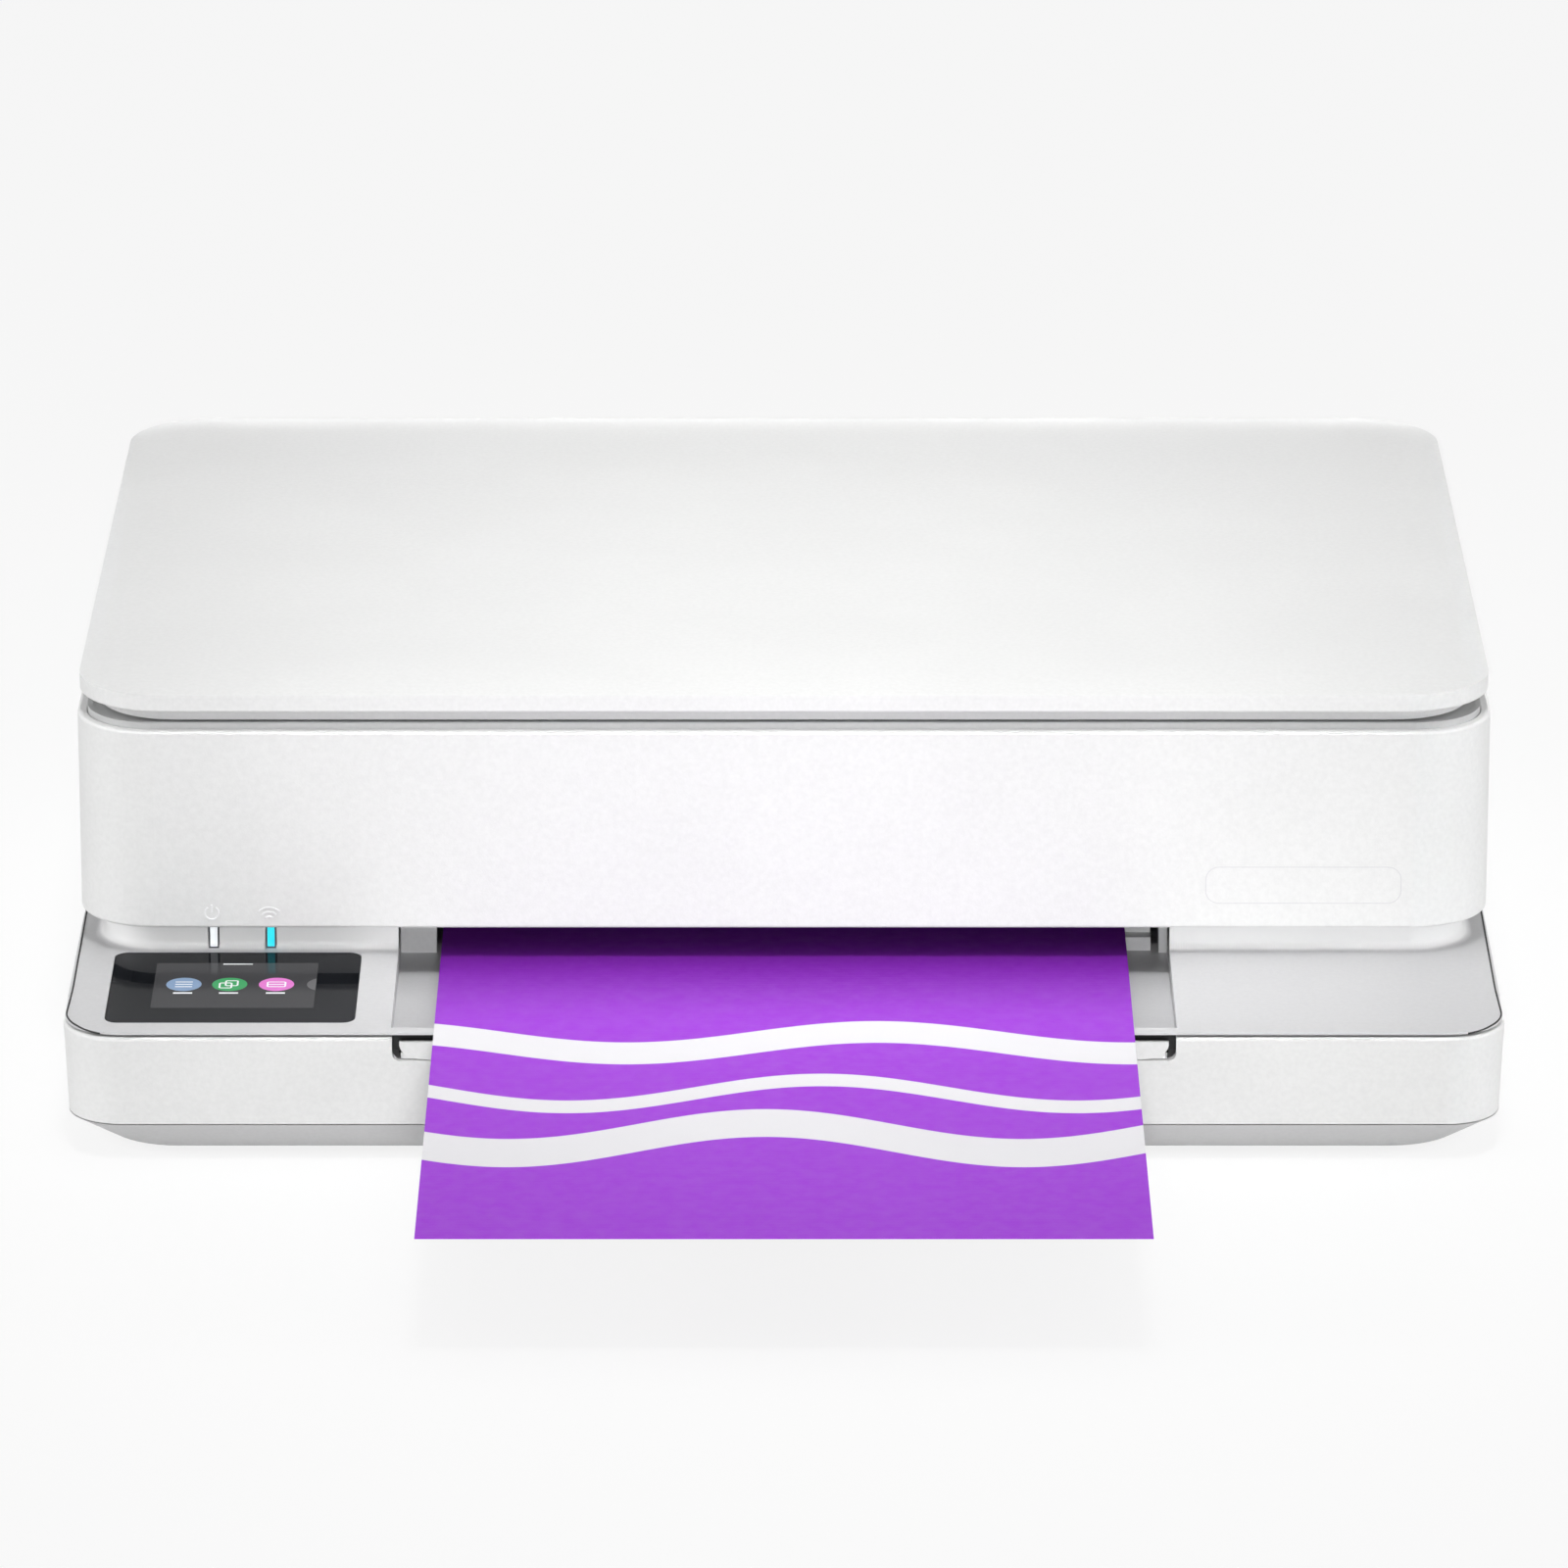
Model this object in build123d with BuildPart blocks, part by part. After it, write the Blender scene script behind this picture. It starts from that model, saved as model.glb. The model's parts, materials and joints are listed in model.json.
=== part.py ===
"""Inkjet printer with a flatbed scanner, as an assembly of separate pieces.

Millimetres. The origin lies on the table under the middle of the lower case, +Z is up, +X is the
user's right and -Y is the user's side.
"""
from build123d import *
import os
from math import acos, atan2, cos, pi, radians, sin, sqrt, tan

# Clearances
FIT = 0.3          # between pieces that move past or sit beside each other
RUN = 0.06         # radial running clearance of a shaft or pin
LAP = 1.0          # overlap of a cutting tool past the face that it opens

# Paper
SHEET_WIDE = 210.0
SHEET_LONG = 297.0
SHEET_THICK = 0.26
SHEET_SLOPE = 1.0  # degrees
SHEET_GAP = 0.3
SHEET_OUT = 164.5  # in front of the drawer

# Across the machine, from the sheet outwards to the parked carriage and the side of the case
BIN_SIDE = 17.0    # beside the sheet
CHEEK_GAP = 5.0    # from the bin to the middle of a cheek
PLATE_GAP = 4.0    # outside the right cheek
CARRIAGE_WIDE = 60.0
CARRIAGE_PARK = 4.0 # from the chassis to the parked carriage
SIDE_CLEAR = 22.25 # from the parked carriage to the side of the case
BIN_HALF = SHEET_WIDE / 2 + BIN_SIDE
CHEEK_HALF = BIN_HALF + CHEEK_GAP
PLATE_RIGHT = CHEEK_HALF + PLATE_GAP
CARRIAGE_X = PLATE_RIGHT + CARRIAGE_PARK + CARRIAGE_WIDE / 2
WIDTH = 2 * CARRIAGE_X + CARRIAGE_WIDE + 2 * SIDE_CLEAR

# Lower case
DEPTH_ROOM = 66.0  # depth of the case beyond the length of the sheet
DEPTH = SHEET_LONG + DEPTH_ROOM
CASE_CORNER = 18.0
CASE_WALL = 2.6
CASE_DRAFT = 2.4   # degrees
FOOT_RISE = 2.5
FOOT_RADIUS = 9.0
FOOT_SINK = 0.8
FOOT_X_IN = 40.0    # from the sides of the case
FOOT_Y_IN = 40.0
FOOT_EDGE = 0.6
BASE_RISE = 10.0
BASE_INSET = 10.5
BASE_CORNER = 24.0
BASE_FLOOR = 2.5
BASE_WALL = 3.2
DRAWER_RISE = 27.8
DRAWER_RETURN = 38.0
DRAWER_WALL = 3.0
DRAWER_EDGE = 1.2
REAR_RETURN = 24.0
SILL_GAP = 0.4
SEAM = 0.7         # shadow line between the drawer and the deck
SIDE_RIBS = 4
SIDE_RIB_DEEP = 4.0
SIDE_RIB_THICK = 1.6

# Front deck and neck
LEDGE = 60.8       # from the drawer front to the fascia
DECK_INSET = 0.8
DECK_EDGE = 0.6
DECK_SLOPE = 2.5   # degrees
NECK_INSET = 8.0   # behind the fascia
NECK_SIDE = 7.0    # inside the upper case, at the sides and the rear
NECK_RISE = 9.7
NECK_WALL = 2.6
NECK_COVE = 3.0
NECK_LAND = 5.0    # level strip in front of the neck
SKIRT_GAP = 1.3
CHEEK_WALL = 2.5

# Output recess in the deck
RECESS_SIDE = 13.0 # beside the sheet
RECESS_HALF = SHEET_WIDE / 2 + RECESS_SIDE
RECESS_DROP = 4.8  # below the front edge of the deck
RECESS_FLOOR = 1.5
RECESS_WALL = 2.0
RECESS_BACK = 87.5 # from the drawer front
RECESS_RAMP = 12.0
RECESS_LIP = 5.0
BLOCK_LEFT = 11.0  # posts at the ends of the exit guide
BLOCK_RIGHT = 2.6
BLOCK_DEEP = 9.0
BLOCK_RISE = 9.8
GUIDE_END_GAP = 2.4
GUIDE_RISE = 6.0
GUIDE_BAR_RISE = 4.3
GUIDE_BAR_DEEP = 5.0
GUIDE_WALL = 2.0

# Touch panel and light bars
PANEL_WIDE = 75.1
PANEL_LONG = 56.6
PANEL_THICK = 3.7
PANEL_CORNER = 4.0
PANEL_SIDE = 12.95 # from the side of the case
PANEL_X = PANEL_SIDE + PANEL_WIDE / 2 - WIDTH / 2
PANEL_FRONT = 9.3  # from the front edge of the deck
PANEL_GAP = 0.2
WELL_WALL = 2.0
WELL_FLOOR = 1.2
LIGHT_WIDE = 3.0
LIGHT_FOOT = 0.8   # above the shoulder of the deck
LIGHT_PITCH = 17.5
LIGHT_SHIFT = 1.0  # right of the middle of the panel
POWER_LIGHT_X = PANEL_X + LIGHT_SHIFT - LIGHT_PITCH / 2
WIRELESS_LIGHT_X = POWER_LIGHT_X + LIGHT_PITCH
LIGHT_GAP = 0.25

# Upper case, scanner and lid
UPPER_SIDE_IN = 1.5 # inside the sides of the lower case
UPPER_WIDTH = WIDTH - 2 * UPPER_SIDE_IN
UPPER_REAR = 1.0   # inside the rear of the lower case
UPPER_CORNER = 24.0
UPPER_WALL = 2.8
UPPER_EDGE = 1.0
FASCIA_RISE = 62.9
FLANGE_WIDE = 6.2
FLANGE_THICK = 2.5
TUB_RISE = 17.0
TUB_WALL = 2.5
TUB_FLOOR = 2.0
BEZEL_THICK = 5.0
RIM_RISE = 0.6
RIM_WIDE = 1.6
GLASS_END_ROOM = 7.0 # beyond the length of the sheet
GLASS_SIDE_ROOM = 14.0
GLASS_WIDE = SHEET_LONG + GLASS_END_ROOM
GLASS_LONG = SHEET_WIDE + GLASS_SIDE_ROOM
GLASS_THICK = 2.2
GLASS_LEDGE = 4.0
GLASS_FORWARD = 4.0
LID_SIDE_IN = 0.75 # inside the sides of the upper case
LID_WIDTH = UPPER_WIDTH - 2 * LID_SIDE_IN
LID_OVERHANG = 1.0 # in front of the fascia
LID_REAR = 2.0     # inside the rear of the upper case
LID_CORNER = 27.0
LID_GAP = 6.5      # from the fascia to the rim of the lid
LID_RISE = 5.4
LID_CROWN = 2.4
LID_WALL = 2.2
LID_TOP = 2.3
LID_EDGE = 0.8
CROWN_STEPS = ((0.0, 0.0), (9.0, 0.45), (22.5, 0.8), (45.0, 1.0)) # inset and share of the crown
PAD_CORNER = 4.0
LINER_INSET = 6.0
LINER_WALL = 2.5
LINER_FLOOR = 4.0
LINER_GAP = 2.4    # from the fascia to the liner
PAD_SINK = 2.0
PAD_GAP = 1.7      # from the bezel to the pad

# Hinges
UPPER_HINGE_RISE = 5.6
UPPER_HINGE_IN = 65.75 # from the side of the upper case
UPPER_HINGE_X = UPPER_WIDTH / 2 - UPPER_HINGE_IN
UPPER_EAR_WIDE = 8.0
UPPER_EAR_RADIUS = 3.0
UPPER_PIN_RADIUS = 1.5
UPPER_LUG_WIDE = 5.0
UPPER_LUG_DROP = 2.4
UPPER_LUG_RISE = 8.0
REAR_SKIRT_LIFT = 2.3
LID_HINGE_X = UPPER_HINGE_X
LID_HINGE_IN = 3.5 # from the rear edge of the lid
LID_HINGE_DROP = 0.6
LID_POST_WIDE = 10.0
LID_POST_RADIUS = 2.4
LID_PIN_RADIUS = 1.2
LID_EAR_WIDE = 4.0
LID_NOTCH_GAP = 1.5
LID_NOTCH_DEEP = 6.0

# Scan head
RAIL_RADIUS = 3.0
RAIL_LIFT = 7.0
HEAD_IN = 9.5      # from each end of the glass
HEAD_LONG = GLASS_LONG - 2 * HEAD_IN
HEAD_WIDE = 20.0
HEAD_DEEP = 8.0
HEAD_PARK = 2.0    # from the left edge of the glass
HEAD_X = HEAD_PARK - GLASS_WIDE / 2
HEAD_GAP = 0.6
SADDLE_WIDE = 4.0
SLIDER_DEEP = 22.0
SLIDER_WALL = 2.0
HEAD_EDGE = 1.0

# Drawer
BIN_WALL = 2.0
BIN_FLOOR = 2.0
BIN_CLEAR = 0.7    # above the sill
BIN_REAR = 45.5    # from the rear of the case
BIN_LEDGE = 9.0
BIN_LEDGE_THICK = 1.5
BIN_LEDGE_LONG = 116.0
FLOOR_SLOTS = 2
FLOOR_SLOT_PITCH = 40.0
FLOOR_SLOT_IN = 50.0 # from each edge of the sheet
FLOOR_SLOT_LONG = SHEET_WIDE - 2 * FLOOR_SLOT_IN
FLOOR_SLOT_WIDE = 5.0
RUNNER_IN = 10.0   # from the side of the bin
RUNNER_X = BIN_HALF - RUNNER_IN
RUNNER_WIDE = 6.0
SIDE_GUIDE_LONG = 90.0
SIDE_GUIDE_BEHIND = 57.0 # behind the feed roller
SIDE_GUIDE_RISE = 15.5
SIDE_GUIDE_FOOT = 12.0
GUIDE_THICK = 2.0
LENGTH_GUIDE_WIDE = 44.0
LENGTH_GUIDE_IN = 16.5 # from the drawer front
LENGTH_GUIDE_Y = LENGTH_GUIDE_IN - DEPTH / 2
LENGTH_GUIDE_FOOT = 16.0
LENGTH_GUIDE_CORNER = 5.0

# Paper catcher in the notch of the drawer front
NOTCH_IN = 0.4     # inside the output recess
NOTCH_HALF = RECESS_HALF - NOTCH_IN
NOTCH_DEEP = 7.4
NOTCH_CORNER = 2.5
TAB_GAP = 2.2      # from the tab to the end of the notch
TAB_HALF = NOTCH_HALF - TAB_GAP
TAB_RISE = 5.6
TAB_SETBACK = 0.9
TAB_WALL = 1.6
TAB_BOW = 14.0
TAB_LEAN = 0.2     # sideways lean of the ends of the tab
CATCHER_THICK = 1.8
CATCHER_LONG = 93.0

# Print mechanism
GEAR_ROOM = 33.0   # outside the left cheek
PLATE_LEFT = -CHEEK_HALF - GEAR_ROOM
PLATE_THICK = 3.0
PLATE_CLEAR = 2.0
PLATE_LEG = 12.0
PLATE_ARCH = 14.0
FEED_BACK = 189.5  # from the drawer front
FEED_Y = FEED_BACK - DEPTH / 2
PLATE_AHEAD = 92.0 # in front of the feed roller
PLATE_BEHIND = 46.0
PLATE_FRONT = FEED_Y - PLATE_AHEAD
PLATE_REAR = FEED_Y + PLATE_BEHIND
FEED_RADIUS = 6.0
FEED_SHAFT = 4.0
FEED_SLEEVES = 5
FEED_SLEEVE_LONG = 34.0
FEED_PITCH_X = (SHEET_WIDE - FEED_SLEEVE_LONG) / (FEED_SLEEVES - 1)
OUTPUT_RADIUS = 4.0
OUTPUT_SHAFT = 2.5
OUTPUT_ROLLS = 4
OUTPUT_ROLL_LONG = 14.0
OUTPUT_ROLL_IN = 27.0 # from the edge of the sheet to the middle of the last roll
OUTPUT_PITCH_X = (SHEET_WIDE - 2 * OUTPUT_ROLL_IN) / (OUTPUT_ROLLS - 1)
ROLL_GAP = 0.3
GEAR_MODULE = 1.2
GEAR_WIDE = 5.0
GEAR_GAP = 2.5
BACKLASH = 0.16
FEED_TEETH = 26
IDLER_TEETH = 36
OUTPUT_TEETH = 22
PINION_TEETH = 10
PRESSURE = 20.0    # degrees
DEDENDUM = 1.25    # modules below the pitch circle
STUB_RADIUS = 3.0
COLLAR = 1.2
IDLER_WEB_OUT = 17.5
IDLER_WEB_IN = 6.0
IDLER_WEB_SINK = 1.5
PLATEN_AHEAD = 64.0 # in front of the feed roller
PLATEN_LONG = 54.0
PLATEN_FRONT = FEED_Y - PLATEN_AHEAD
PLATEN_REAR = PLATEN_FRONT + PLATEN_LONG
PLATEN_RISE = 6.0
PLATEN_RIB = 1.2
PLATEN_RIBS = 15
PLATEN_DROP = 0.8
PLATEN_RIB_RISE = 1.0
PLATEN_WALL = 2.0
PLATEN_RIB_IN = 7.0 # from the edge of the sheet to the last rib
PLATEN_PITCH = (SHEET_WIDE - 2 * PLATEN_RIB_IN) / (PLATEN_RIBS - 1)
STAR_BAR_DEEP = 14.0
STAR_BAR_THICK = 3.0
STAR_RADIUS = 4.2
STAR_WIDE = 2.0
STAR_WHEELS = 8
STAR_IN = 14.0     # from the edge of the sheet to the last wheel
STAR_PITCH = (SHEET_WIDE - 2 * STAR_IN) / (STAR_WHEELS - 1)
STAR_BAR_LIFT = 6.5
PICK_BEHIND = 38.0 # behind the feed roller
PICK_Y = FEED_Y + PICK_BEHIND
PICK_SHAFT = 3.0
PICK_RADIUS = 9.0
PICK_REACH = 42.0
PICK_WIDE = 16.0
PICK_FORK = 2.6
PICK_PIN = 1.5
PICK_BOSS = 6.0
PICK_ARM_HALF = 5.0
PICK_EDGE = 0.8
PICK_LIFT = 0.3
TURN_RADIUS = 22.0
TURN_REAR_IN = 35.5 # from the rear of the case
TURN_Y = DEPTH / 2 - TURN_REAR_IN
TURN_SIDE = 7.0    # beside the sheet
TURN_HALF = SHEET_WIDE / 2 + TURN_SIDE
TURN_WALL = 2.0
TURN_LEG_X = 60.0
TURN_LEG_WIDE = 3.0
TURN_LEG_REAR = 26.0
TURN_END_BEHIND = 26.0 # behind the feed roller
TURN_END_Y = FEED_Y + TURN_END_BEHIND
TURN_END_RISE = 4.5

# Carriage, rail and belt
RAIL_AHEAD = 2.0   # in front of the feed roller
RAIL_WEB_Y = FEED_Y - RAIL_AHEAD
RAIL_SHEET = 1.2
RAIL_FOOT = 58.0
RAIL_HEAD = 90.0
RAIL_FLANGE = 16.0
RAIL_SLOTS = 5
RAIL_SLOT_PITCH = 58.0
RAIL_SLOT_LONG = 36.0
RAIL_SLOT_TALL = 8.0
CARRIAGE_LONG = 77.0
CARRIAGE_GAP = 7.0 # from the rail
CARRIAGE_REAR = RAIL_WEB_Y - CARRIAGE_GAP
CARRIAGE_FRONT = CARRIAGE_REAR - CARRIAGE_LONG
CARRIAGE_FOOT = 48.5
CARRIAGE_STEP = 57.0
CARRIAGE_STEP_IN = 28.0
CARRIAGE_STEP_Y = CARRIAGE_FRONT + CARRIAGE_STEP_IN
CARRIAGE_HEAD = 86.0
CARRIAGE_WALL = 2.0
CARRIAGE_FLOOR = 2.5
CARRIAGE_FRONT_WALL = 16.0
HOOK_THICK = 2.0
HOOK_DROP = 3.3
HOOK_HALF = 20.0
NOZZLE_WIDE = 18.0
NOZZLE_LONG = 26.0
NOZZLE_DROP = 2.0
CARTRIDGE_GAP = 0.4
CARTRIDGE_RISE = 31.0
CARTRIDGE_SLOPE = 6.0
CARTRIDGE_EDGE = 1.5
LATCH_THICK = 2.4
LATCH_PIN = 0.8
LATCH_PIN_LONG = 0.8
LATCH_TAB = 6.0
LATCH_EDGE = 2.0
PULLEY_IN = 7.0    # inside the outer side of the parked carriage
PULLEY_X = CARRIAGE_X + CARRIAGE_WIDE / 2 - PULLEY_IN
PULLEY_Z = 74.0
RAIL_END = 12.0    # beyond the pulleys
RAIL_HALF = PULLEY_X + RAIL_END
PULLEY_RADIUS = 6.0
PULLEY_FLANGE = 8.0
PULLEY_SHAFT = 1.5
PULLEY_RIM = 0.6
BELT_THICK = 1.2
BELT_WIDE = 4.0
BELT_GAP = 0.2
CLIP_WIDE = 16.0
CLIP_THICK = 2.4
MOTOR_RADIUS = 12.0
MOTOR_LONG = 28.0
MOTOR_FLAT = 9.5
MOTOR_BOSS = 4.0
MOTOR_BOSS_LONG = 1.5
SADDLE_HALF = 8.0

# Service station
STATION_SIDE_IN = 1.0 # inside the sides of the carriage
STATION_WIDE = CARRIAGE_WIDE - 2 * STATION_SIDE_IN
STATION_FRONT_IN = 2.0 # inside the front of the carriage
STATION_REAR_IN = 3.0
STATION_FRONT = CARRIAGE_FRONT + STATION_FRONT_IN
STATION_REAR = CARRIAGE_REAR - STATION_REAR_IN
STATION_RISE = 36.0
STATION_WALL = 2.0
STATION_FLOOR = 14.0
STATION_CORNER = 4.0
SLED_LONG = 44.0
SLED_RISE = 12.0
CAP_WIDE = 20.0
CAP_LONG = 28.0
CAP_GAP = 0.5
CAP_WALL = 1.6
CAP_CORNER = 3.0
CAP_SINK = 4.0

# Electronics
BOARD_IN = 13.25   # from the side of the case
BOARD_WIDE = 64.0
BOARD_LEFT = BOARD_IN - WIDTH / 2
BOARD_RIGHT = BOARD_LEFT + BOARD_WIDE
BOARD_LONG = 108.0
BOARD_REAR_IN = 16.5 # from the rear of the case
BOARD_REAR = DEPTH / 2 - BOARD_REAR_IN
BOARD_FRONT = BOARD_REAR - BOARD_LONG
BOARD_LIFT = 7.0
BOARD_THICK = 1.6
POST_RADIUS = 3.0
POST_IN = 6.0
# Components: place from the front left corner of the board, size across, along and up
BOARD_PIECES = [
    (24.0, 70.0, 18.0, 18.0, 2.0),
    (50.0, 72.0, 10.0, 14.0, 1.6),
    (16.0, 30.0, 22.0, 6.0, 7.0),
    (48.0, 22.0, 12.0, 8.0, 10.0),
    (48.0, 42.0, 8.0, 8.0, 9.0),
    (8.0, 96.0, 6.0, 22.0, 6.0),
]
SUPPLY_IN = 17.25  # from the side of the case
SUPPLY_WIDE = 60.0
SUPPLY_LONG = 98.0
SUPPLY_REAR_IN = 21.5 # from the rear of the case
SUPPLY_RIGHT = WIDTH / 2 - SUPPLY_IN
SUPPLY_LEFT = SUPPLY_RIGHT - SUPPLY_WIDE
SUPPLY_REAR = DEPTH / 2 - SUPPLY_REAR_IN
SUPPLY_FRONT = SUPPLY_REAR - SUPPLY_LONG
SUPPLY_RISE = 38.0
SUPPLY_EDGE = 3.0
SUPPLY_SLOTS = 8
SUPPLY_SLOT_PITCH = 9.0
SUPPLY_SLOT_LONG = 44.0
SUPPLY_SLOT_WIDE = 3.0
INLET_X = (SUPPLY_LEFT + SUPPLY_RIGHT) / 2
INLET_Z = 27.0
INLET_WIDE = 24.0
INLET_TALL = 17.0
INLET_PITCH = 8.6
INLET_SOCKET = 4.2
INLET_PIN = 1.2
INLET_DEEP = 12.0
USB_X = (BOARD_LEFT + BOARD_RIGHT) / 2
USB_WIDE = 12.0
USB_TALL = 11.0
USB_WALL = 1.2
USB_DEEP = 9.0
USB_LONG = 17.0
USB_TONGUE = 5.0
PORT_SETBACK = 1.2
BUTTON_WIDE = 13.0
BUTTON_TALL = 7.0
BUTTON_Z = 27.0
KEY_PITCH = 24.0
KEY_GAP = 40.0     # from the power supply to the first key
POWER_BUTTON_X = SUPPLY_LEFT - KEY_GAP
WIRELESS_BUTTON_X = POWER_BUTTON_X - KEY_PITCH
BUTTON_FLANGE = 1.6
BUTTON_FLANGE_THICK = 2.0
BUTTON_SETBACK = 0.2
BUTTON_EDGE = 0.6
PORT_CORNER = 2.0
VENT_X = -60.0
VENT_Z = 27.0
VENT_PITCH = 6.0
VENT_SLOTS = 12
VENT_TALL = 12.0
VENT_WIDE = 2.4

# Screws
SCREW_HEAD = 3.2
SCREW_HEAD_RISE = 2.0
SCREW_SHANK = 1.5
SCREW_LONG = 8.0
SCREW_SINK = 0.2
PILLAR_RADIUS = 4.0
SCREW_FRONT_IN = (67.25, 31.5) # from the side and the front of the case
SCREW_SIDE_IN = (30.25, 139.5)  # from the side and the rear of the case
SCREW_REAR_IN = (87.25, 29.5)
SCREW_PLACES = [
    (side * (WIDTH / 2 - in_x), y)
    for in_x, y in (
        (SCREW_FRONT_IN[0], SCREW_FRONT_IN[1] - DEPTH / 2),
        (SCREW_SIDE_IN[0], DEPTH / 2 - SCREW_SIDE_IN[1]),
        (SCREW_REAR_IN[0], DEPTH / 2 - SCREW_REAR_IN[1]),
    )
    for side in (-1, 1)
]

# Levels and planes that follow from the sizes above
Y_FRONT = -DEPTH / 2
Y_REAR = DEPTH / 2
Y_FASCIA = Y_FRONT + LEDGE
Y_NECK = Y_FASCIA + NECK_INSET
Y_UPPER_REAR = Y_REAR - UPPER_REAR
Y_RETURN = Y_FRONT + DRAWER_RETURN
Y_SPLIT = Y_REAR - REAR_RETURN
Y_RECESS_BACK = Y_FRONT + RECESS_BACK
Y_BIN_REAR = Y_REAR - BIN_REAR
Z_BASE = FOOT_RISE
Z_FLOOR = Z_BASE + BASE_FLOOR
Z_SILL = Z_BASE + BASE_RISE
Z_DRAWER = Z_SILL + SILL_GAP
Z_DRAWER_TOP = Z_DRAWER + DRAWER_RISE
Z_DECK = Z_DRAWER_TOP + SEAM
Z_LIP = Z_DECK + DECK_EDGE
Z_SHOULDER = Z_LIP + (Y_NECK - NECK_LAND - Y_FRONT) * tan(radians(DECK_SLOPE))
Z_SKIRT = Z_SHOULDER + NECK_RISE
Z_NECK_TOP = Z_SKIRT - SKIRT_GAP
Z_RECESS = Z_LIP - RECESS_DROP
Z_RECESS_UNDER = Z_RECESS - RECESS_FLOOR
Z_FASCIA_TOP = Z_SKIRT + FASCIA_RISE
Z_BEZEL = Z_FASCIA_TOP + PAD_GAP - RIM_RISE / 2
Z_TUB = Z_BEZEL - BEZEL_THICK - TUB_RISE
Z_TUB_TOP = Z_BEZEL - BEZEL_THICK
Z_RIM = Z_FASCIA_TOP + LID_GAP
Z_LID_TOP = Z_RIM + LID_RISE
Z_LINER = Z_FASCIA_TOP + LINER_GAP
Z_CEILING = Z_LID_TOP - LID_TOP
Y_LID_FRONT = Y_FASCIA - LID_OVERHANG
Y_LID_REAR = Y_UPPER_REAR - LID_REAR
GLASS_Y = (Y_FASCIA + Y_UPPER_REAR) / 2 - GLASS_FORWARD
RAIL_Y = GLASS_Y
SIDE_GUIDE_Y = FEED_Y + SIDE_GUIDE_BEHIND
Z_BIN_UNDER = Z_SILL + BIN_CLEAR
Z_BIN = Z_BIN_UNDER + BIN_FLOOR
Z_NOTCH = Z_DRAWER_TOP - NOTCH_DEEP
Z_CATCHER = Z_NOTCH + FIT
SILL_DRAW = (Z_DRAWER_TOP - Z_SILL) * tan(radians(CASE_DRAFT))
Y_BIN_FRONT = Y_FRONT + DRAWER_WALL + SILL_DRAW
Y_UPPER_HINGE = Y_UPPER_REAR - NECK_SIDE - UPPER_EAR_RADIUS
Z_UPPER_HINGE = Z_NECK_TOP + UPPER_HINGE_RISE
Y_LID_HINGE = Y_LID_REAR - LID_HINGE_IN
Z_LID_HINGE = Z_RIM - LID_HINGE_DROP
DECK_PLANE = Plane(
    (0, Y_FRONT, Z_LIP),
    x_dir=(1, 0, 0),
    z_dir=(0, -sin(radians(DECK_SLOPE)), cos(radians(DECK_SLOPE))),
)

# Roller axes; the centres of the gears keep their pitch distance
FEED_PITCH = GEAR_MODULE * FEED_TEETH / 2
IDLER_PITCH = GEAR_MODULE * IDLER_TEETH / 2
OUTPUT_PITCH = GEAR_MODULE * OUTPUT_TEETH / 2
PINION_PITCH = GEAR_MODULE * PINION_TEETH / 2
TRAIN = FEED_PITCH + 2 * IDLER_PITCH + OUTPUT_PITCH


def sheet_height(y):
    """Height of the middle of the sheet at a place along its path."""
    return Z_LIP + SHEET_GAP + SHEET_THICK / 2 + (y - Y_FRONT) * tan(radians(SHEET_SLOPE))


FEED_Z = sheet_height(FEED_Y) - SHEET_THICK / 2 - ROLL_GAP - FEED_RADIUS
OUTPUT_Z = sheet_height(FEED_Y - TRAIN) - SHEET_THICK / 2 - ROLL_GAP - OUTPUT_RADIUS
OUTPUT_Y = FEED_Y - sqrt(TRAIN**2 - (FEED_Z - OUTPUT_Z)**2)
TRAIN_ANGLE = atan2(OUTPUT_Z - FEED_Z, OUTPUT_Y - FEED_Y)
IDLER_Y = FEED_Y + (FEED_PITCH + IDLER_PITCH) * cos(TRAIN_ANGLE)
IDLER_Z = FEED_Z + (FEED_PITCH + IDLER_PITCH) * sin(TRAIN_ANGLE)
PINION_Y = FEED_Y + FEED_PITCH + PINION_PITCH
PINION_Z = FEED_Z
PICK_Z = Z_NOTCH + PICK_SHAFT + 2 * FIT
PICK_ROLLER_Z = Z_BIN + PICK_LIFT + PICK_RADIUS
PICK_ROLLER_Y = PICK_Y + sqrt(PICK_REACH**2 - (PICK_Z - PICK_ROLLER_Z)**2)
TURN_Z = Z_BIN + TURN_RADIUS - TURN_WALL / 2 - ROLL_GAP
GEAR_X = PLATE_LEFT - GEAR_GAP - GEAR_WIDE
STAR_BAR_Z = sheet_height(OUTPUT_Y) + STAR_BAR_LIFT
BAY_WIDE = (CARRIAGE_WIDE - 3 * CARRIAGE_WALL) / 2
BAY_X = (BAY_WIDE + CARRIAGE_WALL) / 2
Z_LATCH = CARRIAGE_STEP + CARRIAGE_FRONT_WALL
Y_LATCH = CARRIAGE_FRONT + LATCH_THICK / 2
Z_CARTRIDGE_TOP = CARRIAGE_FOOT + CARRIAGE_FLOOR + CARTRIDGE_GAP + CARTRIDGE_RISE
Y_BELT = CARRIAGE_REAR + LAP + BELT_GAP


def rear_face(z):
    """Place along Y of the drafted outer face of the rear wall at a height."""
    return Y_REAR - (Z_DRAWER_TOP - z) * tan(radians(CASE_DRAFT))


def case_plan(inset, mode=Mode.ADD):
    """Plan of the lower case, drawn in by an inset."""
    RectangleRounded(WIDTH - 2 * inset, DEPTH - 2 * inset, CASE_CORNER - inset, mode=mode)


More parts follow.
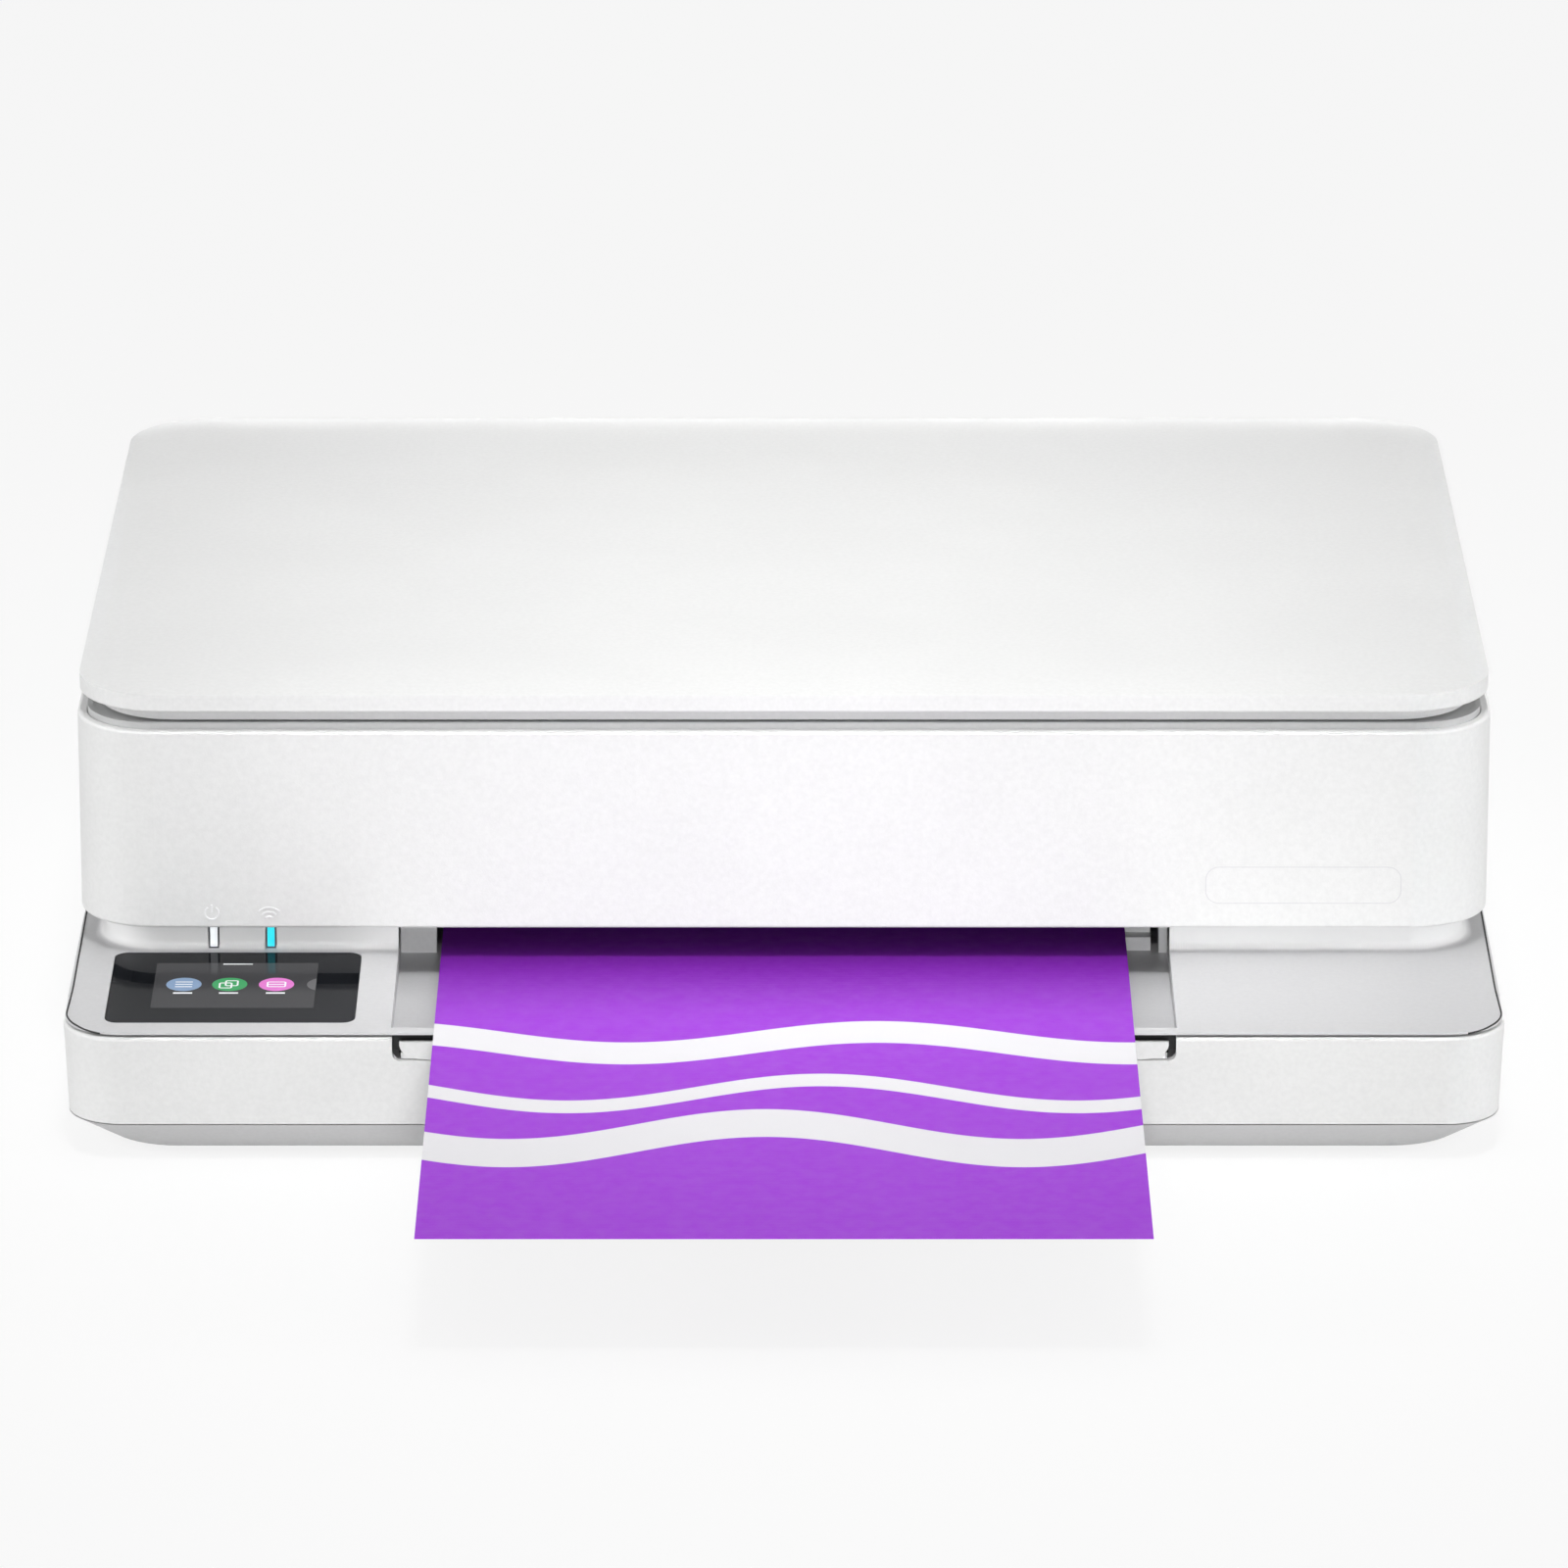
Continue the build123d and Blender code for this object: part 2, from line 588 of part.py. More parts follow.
def upper_plan(inset, side=None, mode=Mode.ADD):
    """Plan of the upper case; the front may be drawn in by another amount than the other sides."""
    other = inset if side is None else side
    front = Y_FASCIA + inset
    rear = Y_UPPER_REAR - other
    with Locations((0, (front + rear) / 2)):
        RectangleRounded(UPPER_WIDTH - 2 * other, rear - front, UPPER_CORNER - other, mode=mode)


def lid_plan(inset, mode=Mode.ADD):
    """Plan of the lid, drawn in by an inset."""
    with Locations((0, (Y_LID_FRONT + Y_LID_REAR) / 2)):
        RectangleRounded(
            LID_WIDTH - 2 * inset, Y_LID_REAR - Y_LID_FRONT - 2 * inset, LID_CORNER - inset / 2, mode=mode
        )


def block(x, y, z, mode=Mode.ADD):
    """Straight block between two places along each axis."""
    with Locations(((x[0] + x[1]) / 2, (y[0] + y[1]) / 2, (z[0] + z[1]) / 2)):
        Box(x[1] - x[0], y[1] - y[0], z[1] - z[0], mode=mode)


def cross_rod(x, y, z, radius, mode=Mode.ADD):
    """Round rod or bore along X between two places."""
    with BuildSketch(Plane.YZ.offset(x[0])) as outline_sketch:
        with Locations((y, z)):
            Circle(radius)
    extrude(outline_sketch.sketch, amount=x[1] - x[0], mode=mode)


def long_rod(y, x, z, radius, mode=Mode.ADD):
    """Round rod or bore along Y between two places."""
    with BuildSketch(Plane.XZ.offset(-y[1])) as outline_sketch:
        with Locations((x, z)):
            Circle(radius)
    extrude(outline_sketch.sketch, amount=y[1] - y[0], mode=mode)


def profile_along_x(points, x, mode=Mode.ADD):
    """Closed outline of (y, z) points carried along X between two places."""
    with BuildSketch(Plane.YZ.offset(x[0])) as outline_sketch:
        with BuildLine():
            Polyline(*points, close=True)
        make_face()
    extrude(outline_sketch.sketch, amount=x[1] - x[0], mode=mode)


def gear_points(teeth, turn):
    """Outline of a spur gear, with an involute flank of three points on each side of a tooth."""
    pitch = GEAR_MODULE * teeth / 2
    base = pitch * cos(radians(PRESSURE))
    root = pitch - DEDENDUM * GEAR_MODULE
    tip = pitch + GEAR_MODULE
    half = pi / (2 * teeth) - BACKLASH / (2 * pitch)

    def involute(radius):
        angle = acos(min(1.0, base / radius))
        return tan(angle) - angle

    def half_angle(radius):
        return half + involute(pitch) - involute(max(radius, base))

    flank = [(radius, half_angle(radius)) for radius in (root, pitch, tip)]
    points = []
    for tooth in range(teeth):
        middle = turn + 2 * pi * tooth / teeth
        for radius, angle in flank:
            points.append((radius * cos(middle - angle), radius * sin(middle - angle)))
        for radius, angle in reversed(flank):
            points.append((radius * cos(middle + angle), radius * sin(middle + angle)))
    return points


def gear_blank(teeth, turn, y, z, bore):
    """Spur gear on the gear side of the left plate, with a raised hub and a bore."""
    with BuildSketch(Plane((GEAR_X, y, z), x_dir=(0, 1, 0), z_dir=(1, 0, 0))) as outline_sketch:
        with BuildLine():
            Polyline(*gear_points(teeth, turn), close=True)
        make_face()
        Circle(bore, mode=Mode.SUBTRACT)
    extrude(outline_sketch.sketch, amount=GEAR_WIDE)


def meshing_turn(teeth_a, turn_a, teeth_b, direction):
    """Turn of gear b that sets its gap on the tooth of gear a, along the line between the centres."""
    return direction + pi + pi / teeth_b - (turn_a - direction) * teeth_a / teeth_b


os.makedirs("parts", exist_ok=True)


def finish(builder, name):
    """Label a finished piece and write it."""
    builder.part.label = name
    export_step(builder.part, f"parts/{name}.step")


# Base pan: chamfered tub with drawer runners, screw pillars and posts for the main board
with BuildPart() as base_pan:
    with BuildSketch(Plane.XY.offset(Z_BASE)):
        RectangleRounded(WIDTH - 2 * BASE_INSET, DEPTH - 2 * BASE_INSET, BASE_CORNER)
    with BuildSketch(Plane.XY.offset(Z_SILL)):
        case_plan(SILL_DRAW)
    loft(ruled=True)
    with BuildSketch(Plane.XY.offset(Z_FLOOR)):
        floor_inset = BASE_INSET + BASE_WALL / 2
        RectangleRounded(WIDTH - 2 * floor_inset, DEPTH - 2 * floor_inset, BASE_CORNER)
    with BuildSketch(Plane.XY.offset(Z_SILL)):
        case_plan(SILL_DRAW + BASE_WALL)
    loft(ruled=True, mode=Mode.SUBTRACT)
    for side in (-1, 1):
        block(
            (side * RUNNER_X - RUNNER_WIDE / 2, side * RUNNER_X + RUNNER_WIDE / 2),
            (Y_BIN_FRONT + BASE_INSET, Y_BIN_REAR),
            (Z_FLOOR - LAP, Z_BIN_UNDER - FIT),
        )
    with BuildSketch(Plane.XY.offset(Z_FLOOR)):
        with Locations(*SCREW_PLACES):
            Circle(PILLAR_RADIUS)
    extrude(amount=SCREW_LONG - BASE_FLOOR + 2 * SCREW_SINK)
    with BuildSketch(Plane.XY.offset(Z_FLOOR)):
        for x in (BOARD_LEFT + POST_IN, BOARD_RIGHT - POST_IN):
            for y in (BOARD_FRONT + POST_IN, BOARD_REAR - POST_IN):
                with Locations((x, y)):
                    Circle(POST_RADIUS)
    extrude(amount=BOARD_LIFT)
    with BuildSketch(Plane.XY.offset(Z_BASE)):
        with Locations(*SCREW_PLACES):
            Circle(SCREW_HEAD + RUN)
    extrude(amount=SCREW_HEAD_RISE + SCREW_SINK, mode=Mode.SUBTRACT)
    with BuildSketch(Plane.XY.offset(Z_BASE)):
        with Locations(*SCREW_PLACES):
            Circle(SCREW_SHANK + RUN)
    extrude(amount=SCREW_LONG + SCREW_SINK, mode=Mode.SUBTRACT)
    with BuildSketch(Plane.XY.offset(Z_BASE)):
        with GridLocations(WIDTH - 2 * FOOT_X_IN, DEPTH - 2 * FOOT_Y_IN, 2, 2):
            Circle(FOOT_RADIUS + RUN)
    extrude(amount=FOOT_SINK, mode=Mode.SUBTRACT)
finish(base_pan, "base_pan")

with BuildPart() as rubber_feet:
    with BuildSketch(Plane.XY):
        with GridLocations(WIDTH - 2 * FOOT_X_IN, DEPTH - 2 * FOOT_Y_IN, 2, 2):
            Circle(FOOT_RADIUS)
    extrude(amount=FOOT_RISE + FOOT_SINK)
    chamfer(rubber_feet.edges().group_by(Axis.Z)[0], FOOT_EDGE)
finish(rubber_feet, "rubber_feet")

with BuildPart() as case_screws:
    with BuildSketch(Plane.XY.offset(Z_BASE + SCREW_SINK)):
        with Locations(*SCREW_PLACES):
            Circle(SCREW_HEAD)
    extrude(amount=SCREW_HEAD_RISE)
    with BuildSketch(Plane.XY.offset(Z_BASE + SCREW_SINK)):
        with Locations(*SCREW_PLACES):
            Circle(SCREW_SHANK)
    extrude(amount=SCREW_LONG)
finish(case_screws, "case_screws")


def case_wall():
    """Drafted ring of the lower case on the rim of the base pan, with a tongue under the deck."""
    with BuildSketch(Plane.XY.offset(Z_DRAWER_TOP)) as outline_sketch:
        case_plan(0)
    extrude(outline_sketch.sketch, amount=Z_SILL - Z_DRAWER_TOP, taper=CASE_DRAFT)
    with BuildSketch(Plane.XY.offset(Z_DRAWER_TOP)) as outline_sketch:
        case_plan(CASE_WALL)
    extrude(outline_sketch.sketch, amount=Z_SILL - Z_DRAWER_TOP, taper=CASE_DRAFT, mode=Mode.SUBTRACT)
    with BuildSketch(Plane.XY.offset(Z_DRAWER_TOP)) as outline_sketch:
        case_plan(CASE_WALL / 2)
        case_plan(CASE_WALL, mode=Mode.SUBTRACT)
    extrude(outline_sketch.sketch, amount=SEAM)


# Side covers: the ring between the drawer and the rear cover, stiffened by upright ribs
def side_cover(side):
    """Outer wall on one side of the lower case."""
    case_wall()
    split(bisect_by=Plane((0, Y_RETURN + SEAM, 0), z_dir=(0, 1, 0)), keep=Keep.TOP)
    split(bisect_by=Plane((0, Y_SPLIT, 0), z_dir=(0, 1, 0)), keep=Keep.BOTTOM)
    split(bisect_by=Plane((0, 0, 0), z_dir=(side, 0, 0)), keep=Keep.TOP)
    face = WIDTH / 2 - CASE_WALL / 2
    span = Y_SPLIT - Y_RETURN
    for share in range(1, SIDE_RIBS + 1):
        y = Y_RETURN + span * share / (SIDE_RIBS + 1)
        outline = [
            (side * face, Z_DRAWER_TOP),
            (side * (face - SIDE_RIB_DEEP), Z_DRAWER_TOP),
            (side * (face - SIDE_RIB_DEEP - SILL_DRAW), Z_SILL + BASE_WALL),
            (side * (face - SILL_DRAW), Z_SILL + BASE_WALL),
        ]
        with BuildSketch(Plane.XZ.offset(-y)) as outline_sketch:
            with BuildLine():
                Polyline(*outline, close=True)
            make_face()
        extrude(outline_sketch.sketch, amount=SIDE_RIB_THICK)


with BuildPart() as left_side_cover:
    side_cover(-1)
finish(left_side_cover, "left_side_cover")

with BuildPart() as right_side_cover:
    side_cover(1)
finish(right_side_cover, "right_side_cover")

# Rear cover with the openings for the two ports and the two keys
with BuildPart() as rear_cover:
    case_wall()
    split(bisect_by=Plane((0, Y_SPLIT + FIT, 0), z_dir=(0, 1, 0)), keep=Keep.TOP)
    with BuildSketch(Plane.XZ.offset(-Y_REAR - LAP)):
        with Locations((INLET_X, INLET_Z)):
            RectangleRounded(INLET_WIDE + 2 * FIT, INLET_TALL + 2 * FIT, PORT_CORNER)
        with Locations((USB_X, Z_FLOOR + BOARD_LIFT + BOARD_THICK + USB_TALL / 2)):
            Rectangle(USB_WIDE + 2 * FIT, USB_TALL + 2 * FIT)
        with Locations((POWER_BUTTON_X, BUTTON_Z), (WIRELESS_BUTTON_X, BUTTON_Z)):
            SlotOverall(BUTTON_WIDE + 2 * FIT, BUTTON_TALL + 2 * FIT)
        with Locations((VENT_X, VENT_Z)):
            with GridLocations(VENT_PITCH, 0, VENT_SLOTS, 1):
                SlotOverall(VENT_TALL, VENT_WIDE, rotation=90)
    extrude(amount=REAR_RETURN - LAP, mode=Mode.SUBTRACT)
finish(rear_cover, "rear_cover")


def rear_key(x):
    """Key in the rear cover: a rounded cap with a retaining flange behind the wall."""
    inside = rear_face(BUTTON_Z - BUTTON_TALL / 2) - CASE_WALL - FIT
    with BuildSketch(Plane.XZ.offset(-(Y_REAR - BUTTON_SETBACK))) as outline_sketch:
        with Locations((x, BUTTON_Z)):
            SlotOverall(BUTTON_WIDE, BUTTON_TALL)
    extrude(outline_sketch.sketch, amount=Y_REAR - BUTTON_SETBACK - inside + BUTTON_FLANGE_THICK)
    fillet(faces().sort_by(Axis.Y)[-1].edges(), BUTTON_EDGE)
    with BuildSketch(Plane.XZ.offset(-inside)) as outline_sketch:
        with Locations((x, BUTTON_Z)):
            SlotOverall(BUTTON_WIDE + 2 * BUTTON_FLANGE, BUTTON_TALL + 2 * BUTTON_FLANGE)
    extrude(outline_sketch.sketch, amount=BUTTON_FLANGE_THICK)


with BuildPart() as power_button:
    rear_key(POWER_BUTTON_X)
finish(power_button, "power_button")

with BuildPart() as wireless_button:
    rear_key(WIRELESS_BUTTON_X)
finish(wireless_button, "wireless_button")

# Deck: sloping ledge, shoulder and coved neck in one moulding, before its openings are cut
with BuildPart() as deck_blank:
    with BuildSketch(Plane.XY.offset(Z_DECK)):
        case_plan(DECK_INSET)
    extrude(amount=Z_SHOULDER - Z_DECK)
    split(bisect_by=DECK_PLANE, keep=Keep.BOTTOM)
    with BuildSketch(Plane.XY.offset(Z_DECK)):
        upper_plan(NECK_INSET, NECK_SIDE)
    extrude(amount=Z_NECK_TOP - Z_DECK)
    inside_plan = deck_blank.edges().filter_by_position(Axis.Z, Z_SHOULDER - RUN, Z_SHOULDER + RUN)
    neck_foot = [
        edge
        for edge in inside_plan
        if abs(edge.center().X) < UPPER_WIDTH / 2 - NECK_SIDE + RUN
        and Y_NECK - RUN < edge.center().Y < Y_UPPER_REAR - NECK_SIDE + RUN
    ]
    fillet(neck_foot, NECK_COVE)
    with BuildSketch(Plane.XY.offset(Z_DECK)):
        upper_plan(NECK_INSET + NECK_WALL, NECK_SIDE + NECK_WALL)
    extrude(amount=Z_NECK_TOP - Z_DECK, mode=Mode.SUBTRACT)


RECESS_FRONT = Y_FRONT + RECESS_LIP
with BuildPart() as recess_tool:
    with BuildSketch(Plane.YZ):
        with BuildLine():
            Polyline(
                (RECESS_FRONT + RECESS_RAMP, Z_RECESS),
                (Y_RECESS_BACK + BLOCK_DEEP, Z_RECESS),
                (Y_RECESS_BACK + BLOCK_DEEP, Z_SKIRT + LAP),
                (RECESS_FRONT, Z_SKIRT + LAP),
                (RECESS_FRONT, Z_LIP + RUN),
            )
            TangentArc((RECESS_FRONT + RECESS_RAMP, Z_RECESS), (RECESS_FRONT, Z_LIP + RUN), tangent=(-1, 0))
        make_face()
    extrude(amount=RECESS_HALF, both=True)

with BuildPart() as top_deck:
    add(deck_blank.part)
    block(
        (-RECESS_HALF - RECESS_WALL, RECESS_HALF + RECESS_WALL),
        (Y_FRONT + DRAWER_WALL + LAP, Y_RECESS_BACK + BLOCK_DEEP),
        (Z_RECESS_UNDER, Z_DECK + RUN),
    )
    for side in (-1, 1):
        block(
            (side * CHEEK_HALF - CHEEK_WALL / 2, side * CHEEK_HALF + CHEEK_WALL / 2),
            (Y_BIN_FRONT + BASE_INSET, PLATE_FRONT - FIT),
            (Z_FLOOR, Z_DECK + RUN),
        )
    with BuildSketch(DECK_PLANE.offset(-PANEL_THICK - WELL_FLOOR)):
        with Locations((PANEL_X, PANEL_FRONT + PANEL_LONG / 2)):
            Rectangle(PANEL_WIDE + 2 * WELL_WALL, PANEL_LONG + 2 * WELL_WALL)
    extrude(amount=PANEL_THICK)
    add(recess_tool.part, mode=Mode.SUBTRACT)
    with BuildSketch(DECK_PLANE.offset(-PANEL_THICK)):
        with Locations((PANEL_X, PANEL_FRONT + PANEL_LONG / 2)):
            RectangleRounded(PANEL_WIDE + 2 * PANEL_GAP, PANEL_LONG + 2 * PANEL_GAP, PANEL_CORNER)
    extrude(amount=PANEL_THICK + LAP, mode=Mode.SUBTRACT)
    for side, wide in ((-1, BLOCK_LEFT), (1, BLOCK_RIGHT)):
        inner = RECESS_HALF - wide
        block(
            (min(side * inner, side * (RECESS_HALF + RUN)), max(side * inner, side * (RECESS_HALF + RUN))),
            (Y_RECESS_BACK, Y_RECESS_BACK + BLOCK_DEEP),
            (Z_RECESS - RUN, Z_RECESS + BLOCK_RISE),
        )
    for x in (-UPPER_HINGE_X, UPPER_HINGE_X):
        with BuildSketch(Plane.YZ.offset(x - UPPER_EAR_WIDE / 2)):
            with Locations((Y_UPPER_HINGE, Z_UPPER_HINGE)):
                Circle(UPPER_EAR_RADIUS)
            with Locations((Y_UPPER_HINGE, (Z_UPPER_HINGE + Z_DECK) / 2)):
                Rectangle(2 * UPPER_EAR_RADIUS, Z_UPPER_HINGE - Z_DECK)
            with Locations((Y_UPPER_HINGE, Z_UPPER_HINGE)):
                Circle(UPPER_PIN_RADIUS + RUN / 2, mode=Mode.SUBTRACT)
        extrude(amount=UPPER_EAR_WIDE)
    for x in (POWER_LIGHT_X, WIRELESS_LIGHT_X):
        half = LIGHT_WIDE / 2 + LIGHT_GAP
        block(
            (x - half, x + half),
            (Y_FASCIA, Y_NECK + NECK_WALL + LAP),
            (Z_SHOULDER + LIGHT_FOOT - LIGHT_GAP, Z_SKIRT),
            mode=Mode.SUBTRACT,
        )
finish(top_deck, "top_deck")


def light_bar(x):
    """Light bar that fills its slot flush with the coved face of the neck."""
    add(deck_blank.part)
    half = LIGHT_WIDE / 2
    block(
        (x - half, x + half),
        (Y_FASCIA, Y_NECK + NECK_WALL),
        (Z_SHOULDER + LIGHT_FOOT, Z_SKIRT),
        mode=Mode.INTERSECT,
    )


with BuildPart() as power_light:
    light_bar(POWER_LIGHT_X)
finish(power_light, "power_light")

with BuildPart() as wireless_light:
    light_bar(WIRELESS_LIGHT_X)
finish(wireless_light, "wireless_light")

with BuildPart() as touch_panel:
    with BuildSketch(DECK_PLANE.offset(-PANEL_THICK)):
        with Locations((PANEL_X, PANEL_FRONT + PANEL_LONG / 2)):
            RectangleRounded(PANEL_WIDE, PANEL_LONG, PANEL_CORNER)
    extrude(amount=PANEL_THICK)
finish(touch_panel, "touch_panel")

# Exit guide: stepped bar that closes the back of the recess below the sheet
with BuildPart() as exit_guide:
    guide_left = BLOCK_LEFT + GUIDE_END_GAP - RECESS_HALF
    guide_right = RECESS_HALF - BLOCK_RIGHT - GUIDE_END_GAP
    guide_front = Y_RECESS_BACK + GUIDE_WALL
    profile_along_x(
        [
            (guide_front, Z_RECESS),
            (guide_front, Z_RECESS + GUIDE_BAR_RISE),
            (guide_front + GUIDE_BAR_DEEP, Z_RECESS + GUIDE_BAR_RISE),
            (guide_front + GUIDE_BAR_DEEP, Z_RECESS + GUIDE_RISE),
            (guide_front + GUIDE_BAR_DEEP + GUIDE_WALL, Z_RECESS + GUIDE_RISE),
            (guide_front + GUIDE_BAR_DEEP + GUIDE_WALL, Z_RECESS),
        ],
        (guide_left, guide_right),
    )
finish(exit_guide, "exit_guide")

# Drawer front: drafted U-shaped wall with the notch for the paper catcher
with BuildPart() as tray_front:
    with BuildSketch(Plane.XY.offset(Z_DRAWER_TOP)):
        case_plan(0)
    extrude(amount=-DRAWER_RISE, taper=CASE_DRAFT)
    fillet(tray_front.edges().group_by(Axis.Z)[-1], DRAWER_EDGE)
    with BuildSketch(Plane.XY.offset(Z_DRAWER_TOP)):
        case_plan(DRAWER_WALL)
    extrude(amount=-DRAWER_RISE, taper=CASE_DRAFT, mode=Mode.SUBTRACT)
    split(bisect_by=Plane((0, Y_RETURN, 0), z_dir=(0, 1, 0)), keep=Keep.BOTTOM)
    with BuildSketch(Plane.XZ.offset(-Y_FRONT)):
        with Locations((0, Z_NOTCH + NOTCH_DEEP)):
            RectangleRounded(2 * NOTCH_HALF, 2 * NOTCH_DEEP, NOTCH_CORNER)
    extrude(amount=-2 * DRAWER_WALL, mode=Mode.SUBTRACT)
finish(tray_front, "tray_front")

# Drawer bin: open at the top and rear, with ledges that carry the paper catcher
with BuildPart() as tray_bin:
    bin_top = Z_NOTCH
    block((-BIN_HALF, BIN_HALF), (Y_BIN_FRONT, Y_BIN_REAR), (Z_BIN_UNDER, bin_top))
    block(
        (-BIN_HALF + BIN_WALL, BIN_HALF - BIN_WALL),
        (Y_BIN_FRONT + BIN_WALL, Y_BIN_REAR + LAP),
        (Z_BIN, bin_top + LAP),
        mode=Mode.SUBTRACT,
    )
    for side in (-1, 1):
        edge = sorted((side * BIN_HALF, side * (BIN_HALF - BIN_LEDGE)))
        block(edge, (Y_BIN_FRONT, Y_BIN_FRONT + BIN_LEDGE_LONG), (bin_top - BIN_LEDGE_THICK, bin_top))
    with BuildSketch(Plane.XY.offset(Z_BIN_UNDER)):
        with Locations((0, SIDE_GUIDE_Y)):
            with GridLocations(0, FLOOR_SLOT_PITCH, 1, FLOOR_SLOTS):
                SlotOverall(FLOOR_SLOT_LONG, FLOOR_SLOT_WIDE)
    extrude(amount=BIN_FLOOR, mode=Mode.SUBTRACT)
finish(tray_bin, "tray_bin")


def side_guide(side):
    """Paper guide of the drawer: a fence on a foot, with a raised finger grip."""
    inner = SHEET_WIDE / 2 + FIT
    low = Z_BIN + FIT
    foot = sorted((side * (inner - SIDE_GUIDE_FOOT), side * (inner + GUIDE_THICK + SIDE_GUIDE_FOOT / 2)))
    with BuildSketch(Plane.XY.offset(low)) as outline_sketch:
        with Locations(((foot[0] + foot[1]) / 2, SIDE_GUIDE_Y)):
            RectangleRounded(foot[1] - foot[0], SIDE_GUIDE_LONG, GUIDE_THICK)
    extrude(outline_sketch.sketch, amount=GUIDE_THICK)
    with BuildSketch(Plane.YZ.offset(min(side * inner, side * (inner + GUIDE_THICK)))) as outline_sketch:
        with Locations((SIDE_GUIDE_Y, low + SIDE_GUIDE_RISE / 2)):
            RectangleRounded(SIDE_GUIDE_LONG, SIDE_GUIDE_RISE, GUIDE_THICK)
        with Locations((SIDE_GUIDE_Y, low + GUIDE_THICK)):
            Rectangle(SIDE_GUIDE_LONG, 2 * GUIDE_THICK)
    extrude(outline_sketch.sketch, amount=GUIDE_THICK)


with BuildPart() as left_width_guide:
    side_guide(-1)
finish(left_width_guide, "left_width_guide")

with BuildPart() as right_width_guide:
    side_guide(1)
finish(right_width_guide, "right_width_guide")

with BuildPart() as length_guide:
    guide_low = Z_BIN + FIT
    with BuildSketch(Plane.XY.offset(guide_low)):
        with Locations((0, LENGTH_GUIDE_Y)):
            RectangleRounded(LENGTH_GUIDE_WIDE, LENGTH_GUIDE_FOOT, GUIDE_THICK)
    extrude(amount=GUIDE_THICK)
    with BuildSketch(Plane.XZ.offset(-LENGTH_GUIDE_Y)):
        with Locations((0, guide_low + SIDE_GUIDE_RISE / 2)):
            RectangleRounded(LENGTH_GUIDE_WIDE, SIDE_GUIDE_RISE, LENGTH_GUIDE_CORNER)
        with Locations((0, guide_low + GUIDE_THICK)):
            Rectangle(LENGTH_GUIDE_WIDE, 2 * GUIDE_THICK)
    extrude(amount=GUIDE_THICK)
finish(length_guide, "length_guide")

# Paper catcher: thin plate with a bowed tab that fills the notch
with BuildPart() as output_extender:
    tab_front = Y_FRONT + TAB_SETBACK
    tab_top = Z_CATCHER + TAB_RISE
    with BuildSketch(Plane.XY.offset(Z_CATCHER)):
        with Locations((0, tab_front + TAB_WALL / 2 + CATCHER_LONG / 2)):
            RectangleRounded(2 * TAB_HALF, CATCHER_LONG, TAB_WALL)
    extrude(amount=CATCHER_THICK)
    with BuildSketch(Plane.XZ.offset(-tab_front - TAB_WALL)):
        with BuildLine():
            Polyline(
                (-TAB_HALF + TAB_BOW, Z_CATCHER),
                (TAB_HALF - TAB_BOW, Z_CATCHER),
            )
            Spline(
                (TAB_HALF - TAB_BOW, Z_CATCHER),
                (TAB_HALF, tab_top - DRAWER_EDGE),
                tangents=[(1, 0), (TAB_LEAN, 1)],
            )
            Polyline(
                (TAB_HALF, tab_top - DRAWER_EDGE),
                (TAB_HALF, tab_top),
                (-TAB_HALF, tab_top),
                (-TAB_HALF, tab_top - DRAWER_EDGE),
            )
            Spline(
                (-TAB_HALF, tab_top - DRAWER_EDGE),
                (-TAB_HALF + TAB_BOW, Z_CATCHER),
                tangents=[(TAB_LEAN, -1), (1, 0)],
            )
        make_face()
    extrude(amount=TAB_WALL)
finish(output_extender, "output_extender")

with BuildPart() as printed_sheet:
    sheet_front = Y_FRONT - SHEET_OUT
    sheet_plane = Plane(
        (0, sheet_front, sheet_height(sheet_front)),
        x_dir=(1, 0, 0),
        z_dir=(0, -sin(radians(SHEET_SLOPE)), cos(radians(SHEET_SLOPE))),
    )
    with BuildSketch(sheet_plane.offset(-SHEET_THICK / 2)):
        with Locations((0, SHEET_LONG / 2)):
            Rectangle(SHEET_WIDE, SHEET_LONG)
    extrude(amount=SHEET_THICK)
finish(printed_sheet, "printed_sheet")

